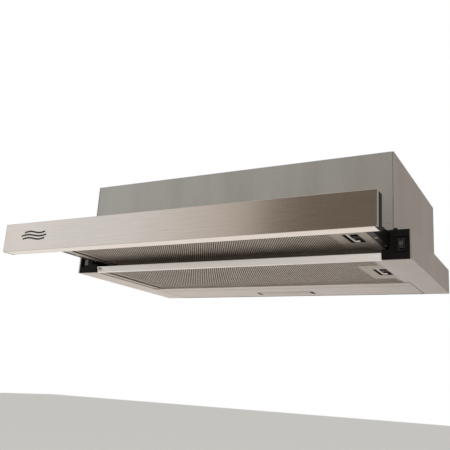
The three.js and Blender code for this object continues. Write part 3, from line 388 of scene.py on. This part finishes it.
# Electrical fittings: a white ABS terminal box, a capacitor in a white can, and the cable
# gland's black nut, screwed on its sleeve through the top panel. No cable is fitted.
finish_nodes(["terminal_box"], white_abs, radius=0.6 * MM)
finish_nodes(["motor_capacitor"], white_abs)
gland_low, gland_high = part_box("cable_gland")
gland_middle = (gland_low + gland_high) / 2
GLAND_NUT_RADIUS = 11 * MM
GLAND_SLEEVE = 8 * MM
GLAND_BORE = 4.2 * MM
GLAND_CHAMFER = 1.5 * MM
NUT_THICK = 2.7 * MM
NUT_LIFT = 0.3 * MM
gland = bmesh.new()
gland_profile = [
    (GLAND_BORE, gland_low.z), (GLAND_SLEEVE, gland_low.z), (GLAND_SLEEVE, gland_high.z - GLAND_CHAMFER),
    (GLAND_SLEEVE - GLAND_CHAMFER, gland_high.z), (GLAND_BORE, gland_high.z), (GLAND_BORE, gland_low.z),
]
turn(gland, gland_profile, 32, Matrix.Translation((gland_middle.x, gland_middle.y, 0)))
nut_middle = (gland_middle.x, gland_middle.y, top_high.z + NUT_LIFT + NUT_THICK / 2)
nut = bmesh.ops.create_cone(
    gland, cap_ends=True, segments=6, radius1=GLAND_NUT_RADIUS, radius2=GLAND_NUT_RADIUS, depth=NUT_THICK,
    matrix=Matrix.Translation(nut_middle),
)
nut_edges = list({edge for vert in nut["verts"] for edge in vert.link_edges})
bmesh.ops.bevel(
    gland, geom=nut_edges, offset=0.4 * MM, segments=2, profile=0.5, affect="EDGES", material=-1)
gland_piece = make_piece("cable_gland_nut_and_sleeve", gland, black_abs)
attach(gland_piece, "hood")
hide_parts("cable_gland")


# Outlet: a black moulded collar for a 120 mm duct, screwed to the top panel. A bar across it
# carries two half-round flaps that fall shut when the fan stops.
collar_low, collar_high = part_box("outlet_collar")
collar_middle = (collar_low + collar_high) / 2
COLLAR_RADIUS = 60 * MM
COLLAR_WALL = 2 * MM
COLLAR_FLANGE = (collar_high.x - collar_low.x) / 2
COLLAR_FLANGE_THICK = 2 * MM
COLLAR_FILLET = 1.5 * MM
COLLAR_EDGE = 0.6 * MM
COLLAR_LIP = 0.4 * MM
COLLAR_TAPER = 0.3 * MM
COLLAR_RIB = 0.8 * MM
RIB_DROP = 6.6 * MM
RIB_WIDTH = 2.4 * MM
LEDGE_WIDTH = 4 * MM
LEDGE_THICK = 3 * MM
collar = bmesh.new()
bore = COLLAR_RADIUS - COLLAR_WALL
rim = collar_high.z
foot = collar_low.z
flange_top = foot + COLLAR_FLANGE_THICK
ledge_top = foot + LEDGE_THICK
rib_high = rim - RIB_DROP
rib_low = rib_high - RIB_WIDTH
collar_profile = [
    (bore - LEDGE_WIDTH, foot), (COLLAR_FLANGE - COLLAR_EDGE, foot), (COLLAR_FLANGE, foot + COLLAR_EDGE),
    (COLLAR_FLANGE, flange_top - COLLAR_LIP), (COLLAR_FLANGE - COLLAR_EDGE, flange_top),
    (COLLAR_RADIUS + COLLAR_FILLET, flange_top), (COLLAR_RADIUS, flange_top + COLLAR_FILLET),
    (COLLAR_RADIUS, rib_low), (COLLAR_RADIUS + COLLAR_RIB, rib_low + COLLAR_EDGE),
    (COLLAR_RADIUS + COLLAR_RIB, rib_high - COLLAR_EDGE), (COLLAR_RADIUS, rib_high),
    (COLLAR_RADIUS - COLLAR_TAPER, rim - COLLAR_LIP), (COLLAR_RADIUS - COLLAR_TAPER - COLLAR_LIP, rim),
    (bore + COLLAR_LIP, rim), (bore, rim - COLLAR_LIP), (bore, ledge_top + COLLAR_LIP),
    (bore - COLLAR_LIP, ledge_top), (bore - LEDGE_WIDTH, ledge_top), (bore - LEDGE_WIDTH, foot),
]
turn(collar, collar_profile, 96, Matrix.Translation((collar_middle.x, collar_middle.y, 0)))


def add_block(shape, low, high, rounding=0, segments=2):
    """Adds a box between two corners, with rounded edges where a rounding is given."""
    size = Vector(high) - Vector(low)
    middle = (Vector(high) + Vector(low)) / 2
    stretch = Matrix.Translation(middle) @ Matrix.Diagonal((*size, 1))
    made = bmesh.ops.create_cube(shape, size=1, matrix=stretch)
    if rounding:
        edges = list({edge for vert in made["verts"] for edge in vert.link_edges})
        bmesh.ops.bevel(
            shape, geom=edges, offset=rounding, segments=segments, profile=0.5, affect="EDGES", material=-1)


BAR_HALF = 3.5 * MM
add_block(
    collar, (-bore, collar_middle.y - BAR_HALF, foot + 0.05 * MM),
    (bore, collar_middle.y + BAR_HALF, ledge_top), rounding=0.4 * MM)
collar_piece = make_piece("duct_collar", collar, black_abs)
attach(collar_piece, "hood")
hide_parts("outlet_collar")
finish_nodes(["flap_front", "flap_rear"], grey_polyamide, radius=0.25 * MM)


# Screws: zinc-plated steel pan heads with a pressed cross recess. They go into the collar,
# the tray's arms and the left end of the front strip.
SCREW_HEAD = 3.2 * MM
SCREW_HEAD_RISE = 1.4 * MM
SCREW_SHANK = 1.6 * MM
SCREW_LENGTH = 8 * MM
CROSS_REACH = 0.5 * SCREW_HEAD
CROSS_THROAT = 0.2 * SCREW_HEAD
CROSS_DEPTH = 0.8 * MM


def cross_head_screw(place, direction):
    """A screw with the underside of its head at a place and its head along a direction."""
    sides = 16
    shape = bmesh.new()
    spin_profile(shape, [
        (0, -SCREW_LENGTH - SCREW_SHANK), (SCREW_SHANK, -SCREW_LENGTH), (SCREW_SHANK, 0),
        (SCREW_HEAD, 0), (SCREW_HEAD, 0.25 * SCREW_HEAD_RISE), (SCREW_HEAD * 0.86, 0.75 * SCREW_HEAD_RISE),
        (SCREW_HEAD * 0.62, SCREW_HEAD_RISE),
    ], sides)
    rim_edges = [edge for edge in shape.edges if edge.is_boundary]
    cap = bmesh.ops.contextual_create(shape, geom=rim_edges)["faces"]
    bmesh.ops.inset_region(shape, faces=cap, thickness=0.1 * MM)
    half_side = Matrix.Rotation(math.pi / sides, 3, "Z")
    bmesh.ops.rotate(shape, verts=cap[0].verts, cent=(0, 0, 0), matrix=half_side)
    for vert in cap[0].verts:
        angle = math.degrees(math.atan2(vert.co.y, vert.co.x)) % 90
        on_arm = min(angle, 90 - angle) < 15
        vert.co.xy = vert.co.xy.normalized() * (CROSS_REACH if on_arm else CROSS_THROAT)
    cross = bmesh.ops.extrude_discrete_faces(shape, faces=cap)["faces"][0]
    bmesh.ops.translate(shape, verts=cross.verts, vec=(0, 0, -CROSS_DEPTH))
    bmesh.ops.scale(shape, verts=cross.verts, vec=(0.6, 0.6, 1))
    bmesh.ops.recalc_face_normals(shape, faces=shape.faces)
    bmesh.ops.transform(shape, matrix=facing(place, direction), verts=shape.verts)
    return shape


def fit_screw(node, body, direction):
    """Replaces a CAD screw with a detailed one whose head faces a direction."""
    low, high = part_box(node)
    out = Vector(direction)
    half_length = max(abs(side * along) for side, along in zip(high - low, out)) / 2
    head_top = (low + high) / 2 + out * half_length
    screw = cross_head_screw(head_top - out * SCREW_HEAD_RISE, direction)
    piece = make_piece(node + "_cross_head", screw, zinc_plate)
    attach(piece, body)
    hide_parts(node)


for number in range(1, 5):
    fit_screw(f"collar_screw_{number}", "hood", (0, 0, 1))


# Underside panels: the lamp panel, the rail behind the filter and the rails beside it are
# folded steel in a satin pearl-grey stoving paint, held by their turned-up edges.
PANEL_EDGE = 0.4 * MM
# Stoving paint with a little metal flake gives the eye a soft, even pearl sheen
pearl_paint, pearl_tree, pearl_shader = drifting_finish(
    "satin_pearl_stoving_paint", (70, 70, 70), "#a89f98", "#b5ada6", gloss=(0.38, 0.5),
    stops=(0.35, 0.75), Metallic=0.55,
)[:3]
# Orange peel of the sprayed coat is 2 mm across
pearl_place = add_node(pearl_tree, "ShaderNodeTexCoord").outputs["Object"]
peel = add_node(
    pearl_tree, "ShaderNodeTexNoise", {"Vector": pearl_place, "Scale": 1 / (2 * MM), "Detail": 1})
peel_bumps = add_node(
    pearl_tree, "ShaderNodeBump", {"Height": peel.outputs["Fac"], "Strength": 0.15, "Distance": 0.06 * MM})
pearl_tree.links.new(peel_bumps.outputs[0], pearl_shader.inputs["Normal"])
finish_nodes(["lamp_panel", "rear_rail"], pearl_paint, PANEL_EDGE)
finish_nodes(["filter_rail_left", "filter_rail_right"], pearl_paint, PANEL_EDGE)


# Lamp: a frosted polycarbonate cover that snaps into the lamp panel's window on a black clip
# at each end, under a white housing that holds the light board.
lens_low, lens_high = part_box("lamp_lens")
# Frosted polycarbonate is milky and dull, with a fine etched grain and a soft depth
frosted = drifting_finish(
    "frosted_polycarbonate", (1.2, 1.2, 1.2), "#a39a92", "#b0a79f", gloss=(0.45, 0.6),
    Subsurface_Weight=0.15, Subsurface_Radius=(2 * MM, 2 * MM, 2 * MM),
)[0]
LENS_RIM = 2.5 * MM
LENS_GROOVE = 1.2 * MM
lens = bmesh.new()
add_block(lens, lens_low, lens_high)
lens_face = [face for face in lens.faces if face.normal.z < -0.9]
bmesh.ops.inset_region(lens, faces=lens_face, thickness=LENS_RIM)
bmesh.ops.translate(lens, verts=lens_face[0].verts, vec=(0, 0, 0.35 * MM))
bmesh.ops.inset_region(lens, faces=lens_face, thickness=LENS_GROOVE)
bmesh.ops.translate(lens, verts=lens_face[0].verts, vec=(0, 0, -0.3 * MM))
bmesh.ops.bevel(
    lens, geom=lens.edges[:], offset=0.3 * MM, segments=2, profile=0.5, affect="EDGES", material=-1)
lens_piece = make_piece("lamp_cover", lens, frosted)
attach(lens_piece, "hood")
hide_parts("lamp_lens")
CLIP = Vector((5, 17, 1.1)) * MM
CLIP_PROUD = 0.6 * MM
clips = bmesh.new()
lens_middle = (lens_low + lens_high) / 2
for end, side in ((lens_low.x, -1), (lens_high.x, 1)):
    middle = Vector((end - side * 0.4 * CLIP.x, lens_middle.y, lens_low.z + CLIP.z / 2 - CLIP_PROUD))
    add_block(clips, middle - CLIP / 2, middle + CLIP / 2, rounding=0.4 * MM)
clip_piece = make_piece("lamp_cover_clips", clips, black_abs)
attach(clip_piece, "hood")
finish_nodes(["lamp_housing"], white_abs, radius=0.4 * MM)
# Green solder mask over glass epoxy is glossy, and paler over the copper tracks beneath it
board_green, board_tree, board_shader = new_material("solder_masked_glass_epoxy", Roughness=0.35)
board_place = add_node(board_tree, "ShaderNodeTexCoord").outputs["Object"]
tracks = add_node(board_tree, "ShaderNodeTexBrick", {
    "Vector": board_place, "Scale": 1 / (6 * MM), "Color1": linear("#2f6b46"), "Color2": linear("#2a6140"),
    "Mortar": linear("#3f8158"), "Mortar Size": 0.04})
board_tree.links.new(tracks.outputs["Color"], board_shader.inputs["Base Color"])
finish_nodes(["lamp_board"], board_green, radius=0.1 * MM)


# Corner blocks: black moulded ends of the base that close the folded sheet at the front.
# The right one carries the lamp and fan switch in a square recess, the left one a blank.
finish_nodes(["corner_block_left", "corner_block_right"], black_abs, radius=0.5 * MM)
finish_nodes(["blank_plug"], grey_polyamide, radius=0.5 * MM)
# Polished black polycarbonate is deep and glossy, and faintly greyed where fingers rub it
black_gloss = drifting_finish(
    "polished_black_polycarbonate", (4, 4, 4), "#1d1b1a", "#2b2826", Roughness=0.28)[0]
finish_nodes(["switch_frame"], black_gloss, radius=0.3 * MM)
finish_nodes(["switch_rocker"], black_gloss, radius=0.5 * MM, segments=3)
finish_nodes(["tray_switch"], black_abs, radius=0.4 * MM)
finish_nodes(["tray_switch_button"], white_abs)
block_low, block_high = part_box("corner_block_right")
CATCH = Vector((5, 2, 2.5)) * MM
CATCH_INSET = 22 * MM
CATCH_SETBACK = 0.3 * MM
catch = bmesh.new()
catch_low = Vector((block_high.x - CATCH_INSET, block_low.y + CATCH_SETBACK, block_high.z))
add_block(catch, catch_low, catch_low + CATCH, rounding=0.3 * MM)
catch_piece = make_piece("corner_block_catch", catch, black_abs)
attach(catch_piece, "hood")
rocker_low, rocker_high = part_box("switch_rocker")
# Three ribs on the rocker, in a grey paler than its black: painted highlights, standing in for the three
# highlights along the rocker
RIB = Vector((0.8, 1.4, 4.2)) * MM
RIB_SPACING = 1.9 * MM
RIB_SINK = 0.9 * MM
RIB_RISE = 1.2 * MM
ribs = bmesh.new()
rocker_middle = (rocker_low + rocker_high) / 2
for step in (-1, 0, 1):
    middle = Vector((
        rocker_middle.x + step * RIB_SPACING, rocker_low.y + RIB_SINK, rocker_middle.z + RIB_RISE))
    add_block(ribs, middle - RIB / 2, middle + RIB / 2, rounding=0.25 * MM)
rib_highlight_piece = make_piece("rocker_ribs_painted_highlights", ribs, grey_polyamide)
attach(rib_highlight_piece, "rocker")


# Front strip: an extruded aluminium trim, satin anodised, that is screwed along the front edge
# of the base between the corner blocks. Its face leans back a little towards the bottom.
strip_low, strip_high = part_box("front_strip")
# Satin anodising over an extrusion gives a pale silky metal with faint lines along its length.
# The lines are a fifth of a millimetre apart: drawn at 1 mm, so that they show
satin_anodised = drifting_finish(
    "satin_anodised_aluminium", (120, 1, 1), "#ece7e2", "#f5f1ed", gloss=(0.38, 0.5), stops=(0.3, 0.7),
    detail=2, Metallic=0.2,
)[0]
STRIP_FACE = 10 * MM
STRIP_LEAN = 3 * MM
STRIP_SHEET = 1.2 * MM
strip = bmesh.new()
strip_rear = strip_high.y
face_top = strip_low.z + STRIP_FACE
outline = [
    (strip_low.y + STRIP_LEAN, strip_low.z), (strip_low.y, face_top), (strip_low.y + STRIP_SHEET, face_top),
    (strip_low.y + STRIP_SHEET + STRIP_LEAN, strip_low.z + STRIP_SHEET),
    (strip_rear, strip_low.z + STRIP_SHEET), (strip_rear, strip_low.z),
]


def extrude_along_x(shape, outline, x0, x1, rounding, segments=3):
    """Pushes a closed outline of [y, z] points from x0 to x1 and rounds its edges."""
    verts = [shape.verts.new((x0, y, z)) for y, z in outline]
    start = shape.faces.new(verts)
    made = bmesh.ops.extrude_face_region(shape, geom=[start])["geom"]
    far = [item for item in made if isinstance(item, bmesh.types.BMVert)]
    bmesh.ops.translate(shape, verts=far, vec=(x1 - x0, 0, 0))
    bmesh.ops.recalc_face_normals(shape, faces=shape.faces)
    bmesh.ops.bevel(
        shape, geom=shape.edges[:], offset=rounding, segments=segments, profile=0.5,
        affect="EDGES", material=-1,
    )


extrude_along_x(strip, outline, strip_low.x, strip_high.x, rounding=0.35 * MM)
strip_piece = make_piece("front_trim_strip", strip, satin_anodised)
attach(strip_piece, "hood")
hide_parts("front_strip")
fit_screw("strip_screw", "hood", (0, -1, 0))


# Grease filters: two cassettes of expanded aluminium mesh in a folded aluminium frame, one
# under the body and one in the tray. Layers of crimped mesh are packed behind the front one.
MESH_PITCH_X = 3.8 * MM
MESH_PITCH_Y = 6.3 * MM
STRAND = 0.62 * MM
STRAND_TWIST = 0.12 * MM
STRAND_THICK = 0.1 * MM
CRIMP = 0.5 * MM
CRIMP_LENGTH_X = 2.6 * MM
CRIMP_LENGTH_Y = 2.4 * MM
# Rolled, slit and stretched aluminium is bright on its strands' flats and dulled in patches
mesh_metal = drifting_finish(
    "expanded_aluminium", (30, 30, 30), "#ada195", "#c2b7ac", gloss=(0.35, 0.55), stops=(0.3, 0.75),
    detail=4, Metallic=0.85,
)[0]
# The mesh packed behind it is the same metal in deep shade: nearly black, with paler cells
pad_metal, pad_tree, pad_shader = new_material(
    "shadowed_aluminium_mesh_pack", Metallic=0.2, Roughness=0.7)
pad_place = add_node(pad_tree, "ShaderNodeTexCoord").outputs["Object"]
pad_cells = add_node(pad_tree, "ShaderNodeTexVoronoi", {"Vector": pad_place, "Scale": 1 / (4 * MM)})
pad_tone = add_node(pad_tree, "ShaderNodeValToRGB", {"Fac": pad_cells.outputs["Distance"]})
pad_tone.color_ramp.elements[0].color = linear("#2a211b")
pad_tone.color_ramp.elements[1].color = linear("#100c0a")
pad_tree.links.new(pad_tone.outputs["Color"], pad_shader.inputs["Base Color"])
# Mill-finish aluminium sheet is a soft grey with cloudy patches from the rolls
folded_aluminium = drifting_finish(
    "mill_finish_aluminium_sheet", (40, 40, 40), "#8e857b", "#9b9389", gloss=(0.36, 0.5),
    stops=(0.3, 0.75), detail=4, Metallic=0.85,
)[0]


def expanded_sheet(low, high, hole_low, hole_high):
    """A lattice of slit and stretched metal between two corners, cut away over the latch plate."""
    shape = bmesh.new()
    columns = (high.x - low.x) / MESH_PITCH_X
    rows = (high.y - low.y) / MESH_PITCH_Y
    cells = math.ceil(columns + rows) + 2
    half_diagonal = math.sqrt(0.5)
    bmesh.ops.create_grid(shape, x_segments=cells, y_segments=cells, size=cells * half_diagonal / 2)
    bmesh.ops.rotate(shape, verts=shape.verts, matrix=Matrix.Rotation(math.radians(45), 3, "Z"))
    bmesh.ops.scale(shape, verts=shape.verts, vec=(MESH_PITCH_X, MESH_PITCH_Y, 1))
    middle = (low + high) / 2
    bmesh.ops.translate(shape, verts=shape.verts, vec=(middle.x, middle.y, low.z))
    for point, out in ((low, (-1, 0, 0)), (low, (0, -1, 0)), (high, (1, 0, 0)), (high, (0, 1, 0))):
        bmesh.ops.bisect_plane(
            shape, geom=shape.verts[:] + shape.edges[:] + shape.faces[:],
            plane_co=(point.x, point.y, low.z), plane_no=out, clear_outer=True)
    hidden = [
        face for face in shape.faces
        if hole_low.x < face.calc_center_median().x
        and hole_low.y < face.calc_center_median().y < hole_high.y
    ]
    bmesh.ops.delete(shape, geom=hidden, context="FACES")
    openings = shape.faces[:]
    bmesh.ops.inset_individual(shape, faces=openings, thickness=STRAND, use_even_offset=True)
    for face in openings:
        middle = face.calc_center_median()
        for vert in face.verts:
            across = max(-1, min(1, (vert.co.x - middle.x) / (MESH_PITCH_X / 4)))
            along = max(-1, min(1, (vert.co.y - middle.y) / (MESH_PITCH_Y / 4)))
            vert.co.z += STRAND_TWIST * (across - along)
    bmesh.ops.delete(shape, geom=openings, context="FACES_ONLY")
    return shape


def crimped_pack(low, high, height):
    """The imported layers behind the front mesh, as one sheet crimped in two directions."""
    shape = bmesh.new()
    size = high - low
    bmesh.ops.create_grid(shape, x_segments=120, y_segments=44, size=0.5)
    bmesh.ops.scale(shape, verts=shape.verts, vec=(size.x, size.y, 1))
    middle = (low + high) / 2
    bmesh.ops.translate(shape, verts=shape.verts, vec=(middle.x, middle.y, height))
    for vert in shape.verts:
        vert.co.z += CRIMP * math.sin(vert.co.x / CRIMP_LENGTH_X) * math.cos(vert.co.y / CRIMP_LENGTH_Y)
    return shape


def solidify(piece, thickness, offset=0):
    """Gives a sheet its thickness."""
    wall = piece.modifiers.new("wall", "SOLIDIFY")
    wall.thickness = thickness
    wall.offset = offset


MESH_TUCK = Vector((1, 1, 0)) * MM
LATCH_RECESS = Vector((21, 47, 7.4)) * MM
RECESS_EDGE = 2 * MM
PLATE = Vector((39, 105, 0)) * MM
PLATE_LAP = Vector((3, 3, 0)) * MM
RECESS_SHADE_SHEET = 0.3 * MM
TAB_SHEET = 1.7 * MM
TAB_FOOT = Vector((8, 4, 1.6)) * MM
BOLT_WIDTH = 12 * MM
BOLT_RISE = 2 * MM
BOLT_THICK = 3 * MM
PACK_LIFT = 1.5 * MM
PACK_THICK = 0.5 * MM
FILTER_BODIES = {"filter": ("filter", "filter_latch"), "tray_filter": ("tray", "tray_filter_latch")}
for prefix, (body, latch_body) in FILTER_BODIES.items():
    mesh_low, mesh_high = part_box(prefix + "_mesh")
    frame_low, frame_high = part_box(prefix + "_frame")
    latch_low, latch_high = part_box(prefix + "_latch")
    latch_y = (latch_low.y + latch_high.y) / 2
    plate_low = Vector((frame_high.x - PLATE.x, latch_y - PLATE.y / 2, 0))
    plate_high = Vector((frame_high.x, latch_y + PLATE.y / 2, 0))
    lattice = expanded_sheet(
        mesh_low - MESH_TUCK, mesh_high + MESH_TUCK, plate_low + PLATE_LAP, plate_high - PLATE_LAP)
    lattice_piece = make_piece(prefix + "_expanded_mesh", lattice, mesh_metal)
    solidify(lattice_piece, STRAND_THICK)
    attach(lattice_piece, body)
    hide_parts(prefix + "_mesh")
    pack = crimped_pack(mesh_low, mesh_high, mesh_high.z + PACK_LIFT)
    pack_piece = make_piece(prefix + "_mesh_pack", pack, pad_metal)
    solidify(pack_piece, PACK_THICK)
    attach(pack_piece, body)
    finish_nodes([prefix + "_frame"], folded_aluminium, radius=0.6 * MM)

    # Latch: an aluminium finger tab on a black slide, in a recess pressed into the plate. A thin black
    # sheet lines the recess: painted shade, for the shade inside it. The slide is black plastic, and its
    # black also stands in for the shade where it crosses the recess
    well_high = Vector((
        frame_high.x - RECESS_EDGE, latch_y + LATCH_RECESS.y / 2, frame_low.z + LATCH_RECESS.z))
    well_low = well_high - LATCH_RECESS
    well_low.z = frame_low.z + 0.2 * MM
    recess_shade = bmesh.new()
    wall = Vector((1, 1, 1)) * 0.05 * MM
    add_block(recess_shade, well_low + wall, well_high - wall)
    open_sides = [face for face in recess_shade.faces if face.normal.z < -0.9]
    bmesh.ops.delete(recess_shade, geom=open_sides, context="FACES_ONLY")
    bmesh.ops.reverse_faces(recess_shade, faces=recess_shade.faces)
    recess_shade_piece = make_piece(prefix + "_latch_recess_shade", recess_shade, black_abs)
    solidify(recess_shade_piece, RECESS_SHADE_SHEET, -1)
    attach(recess_shade_piece, body)
    tab = bmesh.new()
    add_block(tab, latch_low, (latch_low.x + TAB_SHEET, latch_high.y, latch_high.z), rounding=0.4 * MM)
    foot_low = Vector((latch_low.x, latch_high.y - TAB_FOOT.y, latch_low.z))
    add_block(tab, foot_low, foot_low + TAB_FOOT, rounding=0.4 * MM)
    tab_piece = make_piece(prefix + "_latch_tab", tab, satin_anodised)
    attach(tab_piece, latch_body)
    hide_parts(prefix + "_latch")
    slide = bmesh.new()
    add_block(
        slide, (latch_low.x + 1 * MM, latch_y - BOLT_WIDTH / 2, frame_low.z + BOLT_RISE),
        (latch_high.x, latch_y + BOLT_WIDTH / 2, frame_low.z + BOLT_RISE + BOLT_THICK), rounding=0.5 * MM)
    slide_piece = make_piece(prefix + "_latch_bolt", slide, black_abs)
    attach(slide_piece, latch_body)


# Tray: a folded steel frame around the second filter, closed by a steel sheet above it. Its
# side angles are aluminium, and a black nylon arm on each side slides in the body's guides.
# The tray's steel takes the warmer, paler copy of the zinc coat: painted light.
finish_nodes(["tray_front_rail", "tray_rear_rail", "tray_cover"], zinc_sheet_painted_warm_light, SHEET_EDGE)
finish_nodes(["tray_side_rail_left", "tray_side_rail_right"], folded_aluminium, radius=0.3 * MM)
# Slide-grade nylon is waxy: glossier than the ABS around it
black_nylon = moulded_plastic("black_slide_nylon", "#141312", "#201d1c", 0.34, 1.2)
finish_nodes(["tray_arm_left", "tray_arm_right"], black_nylon, radius=0.5 * MM)
for side in ("left", "right"):
    for number in (1, 2):
        fit_screw(f"arm_screw_{side}_{number}", "tray", (0, 0, -1))


# Fascia: stainless sheet folded back along both long edges and brushed along its length,
# with a black moulded cap behind each end.
fascia_low, fascia_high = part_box("tray_fascia")
# Brushed stainless is a warm mirror broken by fine lines along X, so it smears what it reflects.
# Brush lines are a tenth of a millimetre apart and 30 mm long: drawn at 0.4 mm, so that they show
brushed_stainless, brushed_tree, brushed_shader, brush_lines = drifting_finish(
    "brushed_stainless_steel", (30, 0.4, 0.4), "#b5aaa0", "#c2b8ae", gloss=(0.12, 0.2),
    stops=(0.25, 0.75), Metallic=1.0,
)
brush_bumps = add_node(
    brushed_tree, "ShaderNodeBump", {"Height": brush_lines, "Strength": 0.25, "Distance": 0.03 * MM})
brushed_tree.links.new(brush_bumps.outputs[0], brushed_shader.inputs["Normal"])
finish_nodes(["tray_fascia"], brushed_stainless, radius=0.4 * MM, segments=3)
finish_nodes(["fascia_cap_left", "fascia_cap_right"], black_abs, radius=0.3 * MM)
RETURN_SHEET = 0.4 * MM
RETURN_DEPTH = 5 * MM
RETURN_SHORT = 0.2 * MM
returns = bmesh.new()
for side, end in ((-1, fascia_low.x), (1, fascia_high.x)):
    inner, outer = sorted((end, end + side * RETURN_SHEET))
    add_block(
        returns, (inner, fascia_low.y + 0.1 * MM, fascia_low.z + RETURN_SHORT),
        (outer, fascia_low.y + RETURN_DEPTH, fascia_high.z - RETURN_SHORT), rounding=0.15 * MM)
returns_piece = make_piece("fascia_end_returns", returns, brushed_stainless)
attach(returns_piece, "tray")


# Printed mark: three plain waves of air, screen printed on the fascia in black ink near its
# left end, as a thin film.
MARK_LEFT = fascia_low.x + 36 * MM
MARK_LENGTH = 52 * MM
MARK_SPACING = 5 * MM
MARK_LINE = 2.6 * MM
MARK_SWING = 1.6 * MM
MARK_STAGGER = 3 * MM
INK_FILM = 0.04 * MM
mark = bmesh.new()
mark_middle = (fascia_low.z + fascia_high.z) / 2
for row, start in ((1, 2 * MARK_STAGGER), (0, 0), (-1, MARK_STAGGER)):
    steps = 24
    bottom = []
    for step in range(steps + 1):
        share = step / steps
        x = MARK_LEFT + start + share * (MARK_LENGTH - start - abs(row) * MARK_STAGGER)
        z = mark_middle + row * MARK_SPACING + MARK_SWING * math.sin(2 * math.pi * share)
        bottom.append(mark.verts.new((x, fascia_low.y - INK_FILM / 2, z)))
    line = [mark.edges.new(pair) for pair in zip(bottom, bottom[1:])]
    upper = bmesh.ops.extrude_edge_only(mark, edges=line)["geom"]
    upper_verts = [item for item in upper if isinstance(item, bmesh.types.BMVert)]
    bmesh.ops.translate(mark, verts=upper_verts, vec=(0, 0, MARK_LINE))
bmesh.ops.recalc_face_normals(mark, faces=mark.faces)
# Screen ink is a thin, half-matt black film, uneven where the mesh left it thin
black_ink = drifting_finish(
    "black_screen_ink", (1.5, 1.5, 1.5), "#100e0d", "#1d1a18", detail=2, Roughness=0.45)[0]
mark_piece = make_piece("printed_airflow_waves", mark, black_ink)
solidify(mark_piece, INK_FILM)
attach(mark_piece, "tray")
